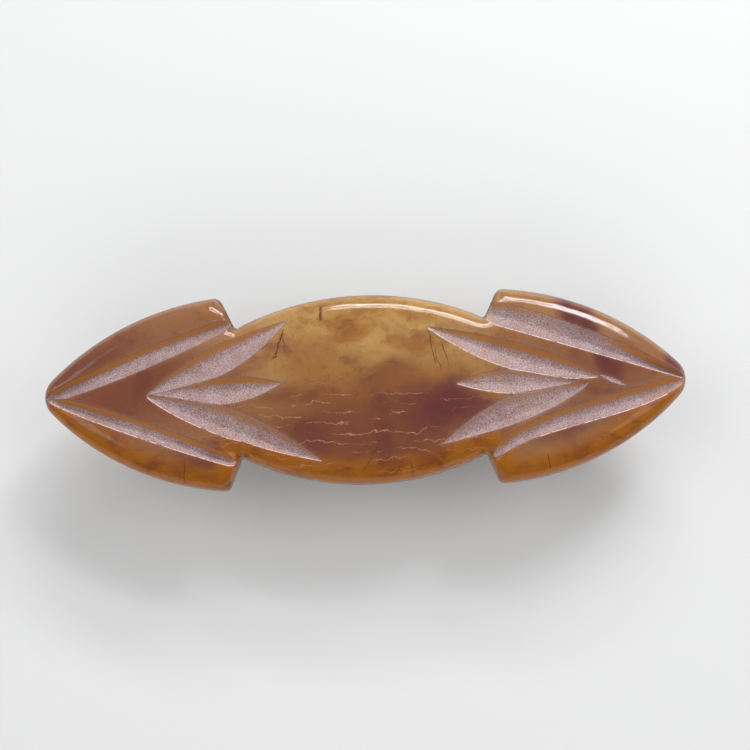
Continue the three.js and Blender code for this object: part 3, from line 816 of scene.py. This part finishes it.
def closing_arm():
    """The arm that passes under the hair, rolled into two knuckles at the hinge."""
    line = [(x, arm_under(x)) for x in spaced(ARM_HIGH[0], HINGE_X, 0.35)]
    line += eye(EYE_BORE + ARM_EYE_WALL, -90, -388)[1:]
    bent = Bent(line)
    half, end = ARM_HIGH[1], bent.length
    neck, split = bent.where(NECK_FROM), bent.where(HINGE_X + 1.95)
    curl = bent.where(HINGE_X)
    side = [(0.0, half), (neck, half), (neck, NECK_HALF), (end, NECK_HALF), (end, KNUCKLE_GAP),
            (split, KNUCKLE_GAP)]
    radii = [1.6, 0.9, 0.3, 0.2, 0.2, 0.5]
    outer = side + [(u, -v) for u, v in reversed(side)]
    slot_from, slot_to = bent.where(SLOT[1]), bent.where(SLOT[0])
    window = [bent.where(WINDOW[1]), bent.where(WINDOW[0])]
    holes = [rounded([(slot_from, -SLOT[2]), (slot_to, -SLOT[2]), (slot_to, SLOT[2]),
                      (slot_from, SLOT[2])], 1.25),
             rounded([(window[0], -WINDOW[2]), (window[1], -WINDOW[2]), (window[1], WINDOW[2]),
                      (window[0], WINDOW[2])], 0.35)]

    def place(u, v, w):
        thinning = 1 - (1 - ARM_EYE_WALL / ARM_THICK) * min(1, max(0, (u - curl + 2.5) / 2.5))
        x, z = bent.at(u, w * thinning)
        return x, v, z

    return pressed("closing_arm", rounded(outer, radii + radii[::-1]), holes, ARM_THICK, place,
                   0.42, 0.16)


def leaf_middle(x):
    far = (HINGE_X, PIN_Z + EYE_BORE + LEAF_THICK / 2) if x < LEAF_LOW[0] else LEAF_TIP
    return LEAF_LOW[1] + (far[1] - LEAF_LOW[1]) * ((x - LEAF_LOW[0]) / (far[0] - LEAF_LOW[0])) ** 2


def tension_leaf():
    """The bowed leaf, with a tongue at its tip and an eye between the arm's knuckles."""
    line = [(x, leaf_middle(x)) for x in spaced(LEAF_TIP[0], HINGE_X, 0.35)]
    line += eye(EYE_BORE + LEAF_THICK / 2, 90, 380)[1:]
    bent = Bent(line)
    tongue, neck = bent.where(LEAF_TIP[0] - TONGUE[0]), bent.where(NECK_FROM)
    side = [(0.0, TONGUE[1]), (tongue, TONGUE[1]), (tongue, LEAF_HALF), (neck, LEAF_HALF),
            (neck, LEAF_KNUCKLE), (bent.length, LEAF_KNUCKLE)]
    radii = [0.9, 0.4, 0.9, 1.2, 0.4, 0.2]
    outer = side + [(u, -v) for u, v in reversed(side)]

    def place(u, v, w):
        x, z = bent.at(u, w - LEAF_THICK / 2)
        return x, v, z

    return pressed("tension_leaf", rounded(outer, radii + radii[::-1]), [], LEAF_THICK, place,
                   0.42, 0.1)


def catch_plate():
    """The catch's plate: its lip carries the leaf, and its sides turn down towards the cheeks."""
    middle = BASE_UNDER - CATCH_THICK / 2
    lip_middle = CATCH_LOW[2] + CATCH_THICK / 2
    wall = CATCH_FROM + CATCH_THICK / 2
    bent = Bent([(CATCH_HIGH[0], middle), (wall, middle), (wall, lip_middle),
                 (CATCH_LOW[0], lip_middle)], 0.45)
    half, turn_at, inner = CATCH_HIGH[1], 2.0, 0.1
    skirt = turn_at + (inner + CATCH_THICK / 2) * math.pi / 2 + 0.14
    cheek = bent.where(JAW_LOW[0])
    flat_to = bent.where(CATCH_FROM + 1.2)
    side = [(0.0, skirt), (cheek, skirt), (cheek, turn_at - 0.1), (cheek + 0.2, turn_at - 0.1),
            (cheek + 0.2, half), (flat_to, half), (flat_to, LIP_HALF), (bent.length, LIP_HALF)]
    radii = [0.2, 0.2, 0.08, 0.08, 0.3, 0.5, 0.3, 0.5]
    outer = side + [(u, -v) for u, v in reversed(side)]
    holes = [circle((bent.where(x), 0), r + 0.1)
             for x, r in ((FIXING_X, FIXING_RADIUS), (RIVET_X, RIVET_RADIUS))]

    def place(u, v, w):
        if u < cheek + 0.1:
            y, z = folded(v, w, turn_at, inner, CATCH_THICK, BASE_UNDER)
            return CATCH_HIGH[0] - u, y, z
        x, z = bent.at(u, w - CATCH_THICK / 2)
        return x, v, z

    return pressed("catch_plate_sheet", rounded(outer, radii + radii[::-1]), holes, CATCH_THICK,
                   place, 0.4, 0.1)


def cheek(name, sign):
    """One cheek of the catch: a leg with a turned-up barb, a web, and the finger tab."""
    top, mid = JAW_HIGH[2], 2.35
    leg = Bent([(mid, top), (mid, 1.95), (3.22, 2.52)], 0.45)
    tab = Bent([(mid, top), (mid, top - 0.95), (4.65, top - 2.05), (4.65, JAW_LOW[2] + 1.2)], 0.4)
    x0, x1 = JAW_LOW[0], JAW_HIGH[0]
    outer = [(x0, 0.0), (x1, 0.0), (x1, tab.length), (TAB_FROM, tab.length), (TAB_FROM, 0.5),
             (WEB_TO, 0.5), (WEB_TO, top - WEB_LOW), (LEG_TO, top - WEB_LOW),
             (LEG_TO, leg.length), (x0, leg.length)]
    radii = [0.25, 0.5, 0.9, 0.9, 0.09, 0.09, 0.6, 0.5, 0.5, 0.5]

    def place(u, v, w):
        bent = tab if u > (WEB_TO + TAB_FROM) / 2 else leg
        y, z = bent.at(v, w - CATCH_THICK / 2)
        return u, y * sign, z

    return pressed(name, rounded(outer, radii), [], CATCH_THICK, place, 0.33, 0.1)


def turned(name, profile, centre, axis, count=40):
    """A turned piece from its profile of radius and height, closed on its axis at both ends."""
    points, faces = [], []
    for radius, height in profile:
        for k in range(count):
            a = 2 * math.pi * k / count
            flat = (radius * math.cos(a), radius * math.sin(a))
            local = (flat[0], flat[1], height) if axis == "z" else (flat[0], height, flat[1])
            points.append(tuple(c + d for c, d in zip(centre, local)))
    for row in range(len(profile) - 1):
        for k in range(count):
            a, b = row * count + k, row * count + (k + 1) % count
            faces.append((a, b, b + count, a + count))
    for row, height in ((0, profile[0][1]), (len(profile) - 1, profile[-1][1])):
        pole = (0, 0, height) if axis == "z" else (0, height, 0)
        points.append(tuple(c + d for c, d in zip(centre, pole)))
        start = row * count
        faces += [(start + k, start + (k + 1) % count, len(points) - 1) for k in range(count)]
    return finished(name, points, faces)


def dome_head(radius, thick, shank):
    """Profile of a low domed head, from its pole at -thick to the shank at 0."""
    arc = [(radius * math.sin(a), -thick * (0.25 + 0.75 * math.cos(a)))
           for a in np.radians((12, 28, 44, 60, 75, 90))]
    return arc + [(radius, -0.06), (radius - 0.06, 0.0), (shank, 0.0)]


def fasteners():
    rivet_low = box_mm("catch_rivet")[0]
    pieces = [turned("rivet", dome_head(1.35, 0.45, RIVET_RADIUS) + [(RIVET_RADIUS, 1.1), (0.7, 1.18)],
                     (RIVET_X, 0, rivet_low[2] + 0.45), "z")]
    for node, label in (("fixing_pin_hinge_end", "pin_hinge_end"),
                        ("fixing_pin_catch_end", "pin_catch_end")):
        low, high = box_mm(node)
        length = high[2] - low[2] - 0.5
        profile = dome_head(1.4, 0.5, FIXING_RADIUS) + [(FIXING_RADIUS, length - 0.15),
                                                       (FIXING_RADIUS - 0.15, length)]
        pieces.append(turned(label, profile, ((low[0] + high[0]) / 2, 0, low[2] + 0.5), "z"))
    half, head = PIN_HIGH[1], 0.4
    peened = [(1.15 * math.sin(a), -half + 0.28 * (1 - math.cos(a)))
              for a in np.radians((10, 30, 50, 70, 90))]
    end = peened + [(1.15, -half + head - 0.05), (1.1, -half + head), (PIN_RADIUS, -half + head)]
    profile = end + [(r, -h) for r, h in reversed(end)]
    pieces.append(turned("hinge_pin_turned", profile, (HINGE_X, 0, PIN_Z), "y"))
    return pieces


# ---- Stage ----------------------------------------------------------------------------------

def make_camera():
    """Looks steeply down from the front, as the bar lay in view."""
    elevation = math.radians(76)
    turn = math.radians(-1.81)
    distance_mm, aside, above = 150.8, 1.24, 1.38
    focus = np.array((0, 0, BAR_BACK + 3.0))
    back = np.array((0, -math.cos(elevation), math.sin(elevation)))
    right = np.array((1.0, 0, 0))
    up = np.cross(back, right)
    offset = back * distance_mm + right * aside + up * above
    spin = np.array([[math.cos(turn), -math.sin(turn), 0],
                     [math.sin(turn), math.cos(turn), 0], [0, 0, 1]])
    camera = bpy.data.cameras.new("camera")
    camera.sensor_width = 36
    camera.lens = 52.6
    camera.clip_start, camera.clip_end = 0.01, 10
    holder = bpy.data.objects.new("camera", camera)
    holder.location = Vector((spin @ offset + focus) * MM)
    holder.rotation_euler = Vector(spin @ -back).to_track_quat("-Z", "Y").to_euler()
    bpy.context.scene.collection.objects.link(holder)
    bpy.context.scene.camera = holder


def area_light(name, place, target, size, power, colour=(1, 1, 1)):
    light = bpy.data.lights.new(name, "AREA")
    light.shape = "RECTANGLE"
    light.size, light.size_y = size
    light.energy = power
    light.color = colour
    holder = bpy.data.objects.new(name, light)
    holder.location = place
    aim = Vector(target) - Vector(place)
    holder.rotation_euler = aim.to_track_quat("-Z", "Y").to_euler()
    bpy.context.scene.collection.objects.link(holder)
    return holder


def make_stage():
    mesh = bpy.data.meshes.new("floor")
    half = 3.0
    mesh.from_pydata([(-half, -half, 0), (half, -half, 0), (half, half, 0), (-half, half, 0)],
                     [], [(0, 1, 2, 3)])
    floor = bpy.data.objects.new("floor", mesh)
    bpy.context.scene.collection.objects.link(floor)
    paper = bpy.data.materials.new("floor_paper")
    paper.use_nodes = True
    shader = paper.node_tree.nodes["Principled BSDF"]
    shader.inputs["Base Color"].default_value = (0.66, 0.65, 0.63, 1)
    shader.inputs["Roughness"].default_value = 0.9
    mesh.materials.append(paper)
    world = bpy.data.worlds.new("studio")
    world.use_nodes = True
    world.node_tree.nodes["Background"].inputs[0].default_value = (0.9, 0.93, 1.0, 1)
    # dimmer towards the horizon, where it meets the far floor without a line
    nodes, links = world.node_tree.nodes, world.node_tree.links
    way = nodes.new("ShaderNodeSeparateXYZ")
    links.new(nodes.new("ShaderNodeTexCoord").outputs["Generated"], way.inputs[0])
    level = nodes.new("ShaderNodeMapRange")
    for socket, value in zip(level.inputs, (0.0, 0.0, 0.55, 0.23, 0.38)):
        socket.default_value = value
    links.new(way.outputs[2], level.inputs[0])
    links.new(level.outputs[0], nodes["Background"].inputs[1])
    bpy.context.scene.world = world
    bpy.context.scene.view_settings.view_transform = "Standard"
    # a window low behind, with a bar across it, and a soft light at each side
    area_light("window_lower", (0.13, 0.44, 0.24), (0, 0, 0.01), (0.38, 0.035), 1.3, (0.95, 0.97, 1))
    area_light("window_upper", (0.13, 0.44, 0.36), (0, 0, 0.01), (0.38, 0.05), 0.9, (0.95, 0.97, 1))
    area_light("window_glow", (0.27, 0.44, 0.38), (0, 0, 0.01), (0.16, 0.16), 1.0, (0.9, 0.95, 1))
    area_light("left_softbox", (-0.75, 0.10, 0.55), (0, 0, 0.01), (0.9, 0.8), 3.6)
    area_light("right_softbox", (0.75, 0.06, 0.50), (0, 0, 0.01), (0.9, 0.8), 2.8)
    fill = area_light("front_fill", (0.0, -0.95, 0.50), (0, 0, 0.01), (1.2, 0.5), 4.6)
    fill.visible_glossy = False


# ---- Materials ------------------------------------------------------------------------------

def tint(red, green, blue, gain=1.0):
    """A colour as a screen shows it, from 0 to 255, turned to the linear light of shaders."""
    values = []
    for v in (red, green, blue):
        v /= 255
        values.append(gain * (v / 12.92 if v <= 0.04045 else ((v + 0.055) / 1.055) ** 2.4))
    return (*values, 1.0)


class Paint:
    """A node material, with the kinds of node that it is made from. Its place is in millimetres."""

    def __init__(self, name, **constants):
        self.made = bpy.data.materials.new(name)
        self.made.use_nodes = True
        self.nodes, self.links = self.made.node_tree.nodes, self.made.node_tree.links
        self.shader = self.nodes["Principled BSDF"]
        for label, value in constants.items():
            self.shader.inputs[label.replace("_", " ").title()].default_value = value
        coordinates = self.nodes.new("ShaderNodeTexCoord")
        self.place = self.vector("MULTIPLY", coordinates.outputs["Object"], (1 / MM,) * 3)
        self.x, self.y, self.z = self.split(self.place)

    def put(self, socket, value):
        if isinstance(value, bpy.types.NodeSocket):
            self.links.new(value, socket)
        elif value is not None:
            socket.default_value = value

    def set(self, label, value):
        self.put(self.shader.inputs[label], value)

    def math(self, kind, a, b=None, c=None, clamp=False):
        node = self.nodes.new("ShaderNodeMath")
        node.operation, node.use_clamp = kind, clamp
        for socket, value in zip(node.inputs, (a, b, c)):
            self.put(socket, value)
        return node.outputs[0]

    def vector(self, kind, a, b=None):
        node = self.nodes.new("ShaderNodeVectorMath")
        node.operation = kind
        self.put(node.inputs[0], a)
        self.put(node.inputs[3 if kind == "SCALE" else 1], b)
        return node.outputs["Value" if kind in ("LENGTH", "DOT_PRODUCT") else "Vector"]

    def split(self, vector):
        node = self.nodes.new("ShaderNodeSeparateXYZ")
        self.put(node.inputs[0], vector)
        return node.outputs

    def normal(self):
        return self.split(self.nodes.new("ShaderNodeNewGeometry").outputs["Normal"])

    def point_fact(self, label):
        node = self.nodes.new("ShaderNodeAttribute")
        node.attribute_name = label
        return node.outputs["Fac"]

    def noise(self, scale, detail=3.0, place=None, stretch=(1, 1, 1), roughness=0.55, out="Fac"):
        """Noise with about `scale` patches to the millimetre."""
        node = self.nodes.new("ShaderNodeTexNoise")
        source = self.place if place is None else place
        if stretch != (1, 1, 1):
            source = self.vector("MULTIPLY", source, stretch)
        self.put(node.inputs["Vector"], source)
        node.inputs["Scale"].default_value = scale
        node.inputs["Detail"].default_value = detail
        node.inputs["Roughness"].default_value = roughness
        return node.outputs[out]

    def cells(self, scale, feature="F1", place=None, stretch=(1, 1, 1), out="Distance"):
        node = self.nodes.new("ShaderNodeTexVoronoi")
        node.feature = feature
        source = self.place if place is None else place
        if stretch != (1, 1, 1):
            source = self.vector("MULTIPLY", source, stretch)
        self.put(node.inputs["Vector"], source)
        node.inputs["Scale"].default_value = scale
        return node.outputs[out]

    def warped(self, scale, reach, detail=2.0):
        """The place, pushed about by up to `reach` millimetres."""
        push = self.vector("SUBTRACT", self.noise(scale, detail, out="Color"), (0.5, 0.5, 0.5))
        return self.vector("ADD", self.place, self.vector("SCALE", push, 2 * reach))

    def step(self, value, low, high, bottom=0.0, top=1.0):
        """A smooth step from `bottom` at low to `top` at high. High may be under low."""
        node = self.nodes.new("ShaderNodeMapRange")
        node.interpolation_type = "SMOOTHSTEP"
        if low > high:
            low, high, bottom, top = high, low, top, bottom
        for socket, v in zip(node.inputs, (value, low, high, bottom, top)):
            self.put(socket, v)
        return node.outputs[0]

    def mix(self, share, a, b, kind="MIX"):
        node = self.nodes.new("ShaderNodeMix")
        node.data_type, node.blend_type = "RGBA", kind
        self.put(node.inputs[0], share)
        self.put(node.inputs[6], a)
        self.put(node.inputs[7], b)
        return node.outputs[2]

    def cloud(self, place, centre, radii, turn=0.0, soft=1.3):
        """1 at a centre in the plan, and falling to 0 at an ellipse around it."""
        node = self.nodes.new("ShaderNodeMapping")
        node.vector_type = "TEXTURE"
        self.put(node.inputs[0], place)
        node.inputs["Location"].default_value = (*centre, 0)
        node.inputs["Rotation"].default_value = (0, 0, math.radians(turn))
        node.inputs["Scale"].default_value = (*radii, 1000)
        return self.step(self.vector("LENGTH", node.outputs[0]), 1 + soft / 2, 1 - soft / 2)

    def crack(self, start, end, width, wander, seed=0.0):
        """1 on a wandering hairline between two points of the plan."""
        span = Vector(end) - Vector(start)
        along, left = span.normalized(), Vector((-span.y, span.x)).normalized()
        rel = self.vector("SUBTRACT", self.place, (*start, 0))
        u = self.vector("DOT_PRODUCT", rel, (*along, 0))
        v = self.vector("DOT_PRODUCT", rel, (*left, 0))
        drift = self.noise(0.9, 4.0, place=self.vector("ADD", self.place, (seed, seed, 0)))
        across = self.math("ADD", v, self.math("MULTIPLY", self.math("SUBTRACT", drift, 0.5), wander))
        line = self.step(self.math("ABSOLUTE", across), width, width * 0.3)
        fade = 0.3
        within = self.math("MULTIPLY", self.step(u, -fade, fade),
                           self.step(u, span.length + fade, span.length - fade))
        return self.math("MULTIPLY", line, within)

    def bump(self, height, reach_mm, strength=1.0, before=None):
        node = self.nodes.new("ShaderNodeBump")
        node.inputs["Strength"].default_value = strength
        node.inputs["Distance"].default_value = reach_mm * MM
        self.put(node.inputs["Height"], height)
        self.put(node.inputs["Normal"], before)
        return node.outputs[0]


OCHRE = tint(176, 138, 80)
HONEY = tint(146, 96, 46)
RUST = tint(114, 62, 38)
PLUM = tint(90, 40, 42)
# painted glow of the thin front edge
PAINTED_GLOW = tint(156, 92, 0)
# painted shade of the rear edge
PAINTED_REAR_SHADE = tint(78, 40, 14)
ROSE = tint(142, 98, 68)
# painted glow of the front edge where it streaks, and painted shade at its foot
PAINTED_GLOW_STREAK = tint(128, 66, 10)
PAINTED_FOOT_SHADE = tint(104, 58, 22)
CRACK = tint(78, 28, 20)
WORM_LINE = tint(205, 150, 120)
SPECK = tint(220, 160, 120)
# painted shade: amber for cut walls that face the front, in place of the frost's sheen
PAINTED_WALL_SHADE = tint(176, 112, 44)
FROST_HOLLOW = tint(122, 90, 86)
ARRIS = tint(88, 50, 30)
# pale frost: partly the cuts' ground finish, partly painted sheen
FROST_AND_SHEEN = tint(194, 174, 175)
# painted highlight along some cut edges
PAINTED_EDGE_HIGHLIGHT = tint(225, 190, 175)

# Darker clouds in the resin: colour, centre, radii, turn in degrees and strength
CLOUDS = [
    (ROSE, (-31.0, 0.0), (17.0, 15.0), 0, 1.0),
    (ROSE, (32.0, 0.0), (17.0, 15.0), 0, 0.9),
    (HONEY, (-7.0, 3.6), (5.0, 3.0), 0, 0.8),
    (HONEY, (2.0, -1.5), (14.0, 4.5), 4, 1.0),
    (RUST, (0.0, -8.0), (19.0, 7.0), 0, 0.95),
    (RUST, (-32.0, 0.3), (13.0, 5.0), 0, 0.9),
    (RUST, (-30.0, 8.0), (14.0, 3.4), 24, 0.35),
    (RUST, (-30.0, -8.0), (14.0, 3.4), -24, 0.3),
    (RUST, (33.0, 0.5), (10.0, 4.0), 0, 0.6),
    (RUST, (21.0, 5.5), (8.0, 2.6), -15, 0.4),
    (PLUM, (3.6, 1.6), (4.0, 2.0), 15, 0.3),
    (PLUM, (11.3, -3.8), (5.6, 3.4), 8, 0.9),
    (PLUM, (-8.2, -7.3), (3.6, 2.6), 0, 0.4),
    (PLUM, (2.0, -7.5), (1.3, 6.0), 4, 0.35),
    (PLUM, (6.4, -7.5), (1.0, 5.5), 8, 0.15),
    (PLUM, (-12.0, -1.0), (2.2, 1.4), 0, 0.35),
    (PLUM, (-21.5, -11.0), (5.0, 2.2), -15, 0.75),
    (PLUM, (29.0, -6.3), (7.5, 2.4), 20, 0.5),
    (PLUM, (28.2, 8.8), (1.5, 5.0), 12, 0.9),
    (PLUM, (31.6, 6.5), (1.4, 4.5), 20, 0.9),
    (PLUM, (33.8, 2.2), (1.8, 1.9), 0, 0.7),
    (PLUM, (43.4, 2.6), (1.4, 2.2), 30, 0.8),
    (PLUM, (-31.0, 1.2), (1.2, 2.4), 0, 0.4),
    (PLUM, (-37.5, 4.4), (6.0, 1.6), 32, 0.35),
]

# Hairlines in the resin: both ends, width, wander
CRACKS = [
    ((-11.1, 7.8), (-12.6, 3.6), 0.16, 1.4),
    ((-11.4, 7.2), (-10.9, 4.6), 0.08, 1.6),
    ((8.6, 7.6), (9.6, 2.4), 0.10, 0.8),
    ((10.6, 5.2), (11.4, 2.0), 0.07, 0.8),
    ((9.6, 4.4), (10.2, 1.6), 0.06, 0.9),
    ((-5.9, 11.3), (-6.1, 9.0), 0.34, 0.7),
    ((5.8, -11.2), (6.2, -13.6), 0.10, 0.5),
    ((1.2, -9.0), (-0.6, -12.0), 0.07, 0.8),
    ((24.2, -10.6), (24.6, -12.4), 0.10, 0.4),
    ((-24.6, -10.2), (-24.9, -12.8), 0.10, 0.4),
]


def amber_resin():
    paint = Paint("amber_resin")
    wisp = paint.warped(0.14, 3.0, 3.0)
    veins = paint.noise(0.10, 6.0, wisp, (1.0, 2.2, 1.0), 0.6)
    colour = paint.mix(paint.step(veins, 0.40, 0.66), OCHRE, HONEY)
    for shade, centre, radii, turn, strength in CLOUDS:
        share = paint.math("MULTIPLY", paint.cloud(wisp, centre, radii, turn), strength)
        colour = paint.mix(share, colour, shade)
    mottle = paint.noise(0.75, 5.0, wisp, (1.6, 0.8, 1.0), 0.62)
    colour = paint.mix(paint.step(mottle, 0.52, 0.72, 0.0, 0.24), colour, RUST)
    drifts = paint.noise(0.24, 5.0, wisp, (0.8, 1.5, 1.0), 0.6)
    colour = paint.mix(paint.step(drifts, 0.52, 0.70, 0.0, 0.42), colour, PLUM)
    flecks = paint.noise(2.1, 3.0, wisp, roughness=0.6)
    colour = paint.mix(paint.step(flecks, 0.54, 0.70, 0.0, 0.25), colour, RUST)
    # painted glow: the thin front edge is painted golden, as if light came through it, with painted
    # shade towards its foot; painted shade along the rear edge, as if little light came through it
    rim = paint.point_fact("rim")
    front = paint.step(paint.y, 1.0, -3.0)
    glow_share = paint.math("MULTIPLY", paint.step(rim, 4.0, 1.3), front)
    streaks = paint.noise(0.22, 4.0, wisp, (1.0, 2.0, 2.0), 0.6)
    painted_glow = paint.mix(paint.step(streaks, 0.42, 0.68), PAINTED_GLOW, PAINTED_GLOW_STREAK)
    # painted shade: the glow darkens towards the foot of the front wall
    low = paint.step(paint.z, BAR_BACK + 1.6, BAR_BACK + 0.2, 0.0, 0.85)
    painted_glow = paint.mix(low, painted_glow, PAINTED_FOOT_SHADE)
    colour = paint.mix(glow_share, colour, painted_glow)
    # painted shade along the rear edge
    rear_shade_share = paint.math("MULTIPLY", paint.step(rim, 0.7, 0.1), paint.step(paint.y, -1.0, 2.0))
    colour = paint.mix(paint.math("MULTIPLY", rear_shade_share, 0.7), colour, PAINTED_REAR_SHADE)
    near_top = paint.step(paint.z, BAR_BACK + 1.2, BAR_BACK + 2.6)
    depth = paint.math("MULTIPLY", near_top, 0.8)
    for start, end, width, wander in CRACKS:
        share = paint.math("MULTIPLY", paint.crack(start, end, width, wander, start[0]), depth)
        colour = paint.mix(share, colour, CRACK)
    # fine pale lines, like worm tracks, in the lower middle
    wander = paint.math("MULTIPLY_ADD", paint.noise(0.16, 2.0), 3.0,
                        paint.math("MULTIPLY", paint.noise(0.95, 3.0), 1.3))
    rows = paint.math("FRACT", paint.math("MULTIPLY", paint.math("ADD", paint.y, wander), 0.75))
    lines = paint.step(paint.math("ABSOLUTE", paint.math("SUBTRACT", rows, 0.5)), 0.055, 0.015)
    patchy = paint.step(paint.noise(0.5, 2.0, stretch=(0.35, 1.6, 1.0)), 0.46, 0.6)
    zone = paint.cloud(paint.place, (-2.0, -6.5), (19.0, 6.5))
    scratched = paint.math("MULTIPLY", paint.math("MULTIPLY", lines, patchy),
                           paint.math("MULTIPLY", zone, near_top))
    colour = paint.mix(paint.math("MULTIPLY", scratched, 0.5), colour, WORM_LINE)
    grain = paint.cells(2.2)
    specks = paint.math("MULTIPLY", paint.step(grain, 0.13, 0.06),
                        paint.step(paint.noise(0.8, 2.0), 0.5, 0.62))
    colour = paint.mix(paint.math("MULTIPLY", specks, 0.4), colour, SPECK)
    # the wheel's frosted cuts, partly painted sheen, with painted shade on their walls that face the
    # front; darkened lines along their edges, and a painted highlight along some of them
    frost = paint.point_fact("frost")
    # painted shade: cut walls that face the front lose the pale frost and turn amber
    wall_shade = paint.math("MULTIPLY", frost, paint.point_fact("front_wall"))
    colour = paint.mix(paint.math("MULTIPLY", wall_shade, 0.7), colour, PAINTED_WALL_SHADE)
    # grain of the frost with painted glints; the pale colour is partly the ground finish and partly
    # painted sheen, and is left off the walls that face the front
    grain_and_glints = paint.noise(5.5, 4.0, roughness=0.75)
    frost_and_sheen = paint.mix(paint.step(grain_and_glints, 0.36, 0.64), FROST_HOLLOW, FROST_AND_SHEEN)
    cover = paint.step(paint.noise(0.45, 3.0), 0.34, 0.6, 0.58, 0.84)
    shown = paint.math("MULTIPLY", paint.math("SUBTRACT", frost, wall_shade), cover)
    colour = paint.mix(shown, colour, frost_and_sheen)
    arris = paint.point_fact("arris")
    edge_highlight = paint.point_fact("edge_highlight")
    highlight_breaks = paint.step(paint.noise(1.3, 3.0), 0.34, 0.5)
    colour = paint.mix(paint.step(arris, 0.3, 1.0, 0.0, 0.6), colour, ARRIS)
    # painted highlight along some cut edges, in broken stretches
    colour = paint.mix(paint.math("MULTIPLY", paint.step(edge_highlight, 0.45, 0.95), highlight_breaks), colour, PAINTED_EDGE_HIGHLIGHT)
    paint.set("Base Color", colour)
    polish = paint.step(paint.noise(0.5, 4.0), 0.3, 0.7, 0.08, 0.16)
    rough = paint.math("ADD", polish, paint.math("MULTIPLY", frost, 0.4))
    paint.set("Roughness", rough)
    # a hand-polished surface is a little uneven; the cuts are grainy
    wavy = paint.bump(paint.noise(0.22, 2.0), 0.10)
    worn = paint.bump(scratched, 0.02, before=wavy)
    height = paint.math("MULTIPLY", paint.noise(4.5, 3.0, roughness=0.7), frost)
    paint.set("Normal", paint.bump(height, 0.10, before=worn))
    paint.set("Subsurface Weight", paint.step(frost, 0.0, 1.0, 0.65, 0.15))
    paint.shader.inputs["Subsurface Radius"].default_value = (1.0, 0.42, 0.12)
    paint.shader.inputs["Subsurface Scale"].default_value = 0.002
    paint.shader.inputs["IOR"].default_value = 1.47
    return paint.made


def metal(name, colour, dull, roughness, tarnish, stain, brushed=0.5):
    """Plated or bare sheet metal: brushed along X, with handling marks, dull patches and stains."""
    paint = Paint(name, metallic=1.0)
    grain = paint.noise(2.2, 4.0, stretch=(0.12, 6.0, 6.0), roughness=0.65)
    patches = paint.noise(0.35, 4.0, roughness=0.6)
    base = paint.mix(paint.step(patches, 0.38, 0.8, 0.0, 0.5), colour, dull)
    base = paint.mix(paint.math("MULTIPLY", paint.step(grain, 0.3, 0.75), 0.35), base, dull)
    spots = paint.math("MULTIPLY", paint.step(paint.cells(0.9, place=paint.warped(1.2, 0.5)), 0.2, 0.05),
                       paint.step(paint.noise(0.2, 2.0), 0.48, 0.6))
    base = paint.mix(paint.math("MULTIPLY", spots, tarnish), base, stain)
    paint.set("Base Color", base)
    worn = paint.math("MULTIPLY", paint.step(patches, 0.35, 0.7), 0.14)
    lines = paint.math("MULTIPLY", grain, 0.12)
    rough = paint.math("ADD", paint.math("ADD", worn, lines), roughness)
    paint.set("Roughness", paint.math("ADD", rough, paint.math("MULTIPLY", spots, 0.25)))
    scratches = paint.step(paint.math("ABSOLUTE", paint.math(
        "SUBTRACT", paint.noise(0.5, 3.0, paint.warped(0.3, 0.8), (0.5, 1.6, 1.6)), 0.5)), 0.008, 0.002)
    brushing = paint.bump(grain, 0.008 * brushed)
    paint.set("Normal", paint.bump(scratches, 0.012, 0.6, before=brushing))
    return paint.made


# ---- The whole ------------------------------------------------------------------------------

make_camera()
make_stage()

nickel = metal("nickel_steel", tint(214, 209, 198), tint(170, 163, 150), 0.20, 0.5, tint(120, 96, 66))
steel = metal("spring_steel", tint(176, 180, 184), tint(124, 128, 134), 0.26, 0.5, tint(96, 76, 58))
brass = metal("pin_brass", tint(214, 180, 106), tint(160, 126, 66), 0.24, 0.4, tint(96, 70, 36))

rivet, pin_hinge_end, pin_catch_end, hinge_pin = fasteners()
PIECES = [  # piece, material, record's material slot, body and the CAD nodes it stands for
    (carved_bar(), amber_resin(), "amber_resin", "root", "carved_bar"),
    (base_plate(), nickel, "nickel_steel", "root", "base_plate"),
    (closing_arm(), nickel, "nickel_steel", "arm", "clasp_arm"),
    (tension_leaf(), steel, "spring_steel", "spring", "tension_spring"),
    (catch_plate(), steel, "spring_steel", "root", "catch_plate"),
    (cheek("cheek_front", -1), steel, "spring_steel", "jaw_front", "catch_jaw_front"),
    (cheek("cheek_rear", 1), steel, "spring_steel", "jaw_rear", "catch_jaw_rear"),
    (rivet, nickel, "nickel_steel", "root", "catch_rivet"),
    (pin_hinge_end, brass, "pin_brass", "root", "fixing_pin_hinge_end"),
    (pin_catch_end, brass, "pin_brass", "root", "fixing_pin_catch_end"),
    (hinge_pin, nickel, "nickel_steel", "root", "hinge_pin"),
]
for piece, look, slot, body, node in PIECES:
    piece.data.materials.append(look)
    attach(piece, body)
    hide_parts(node)
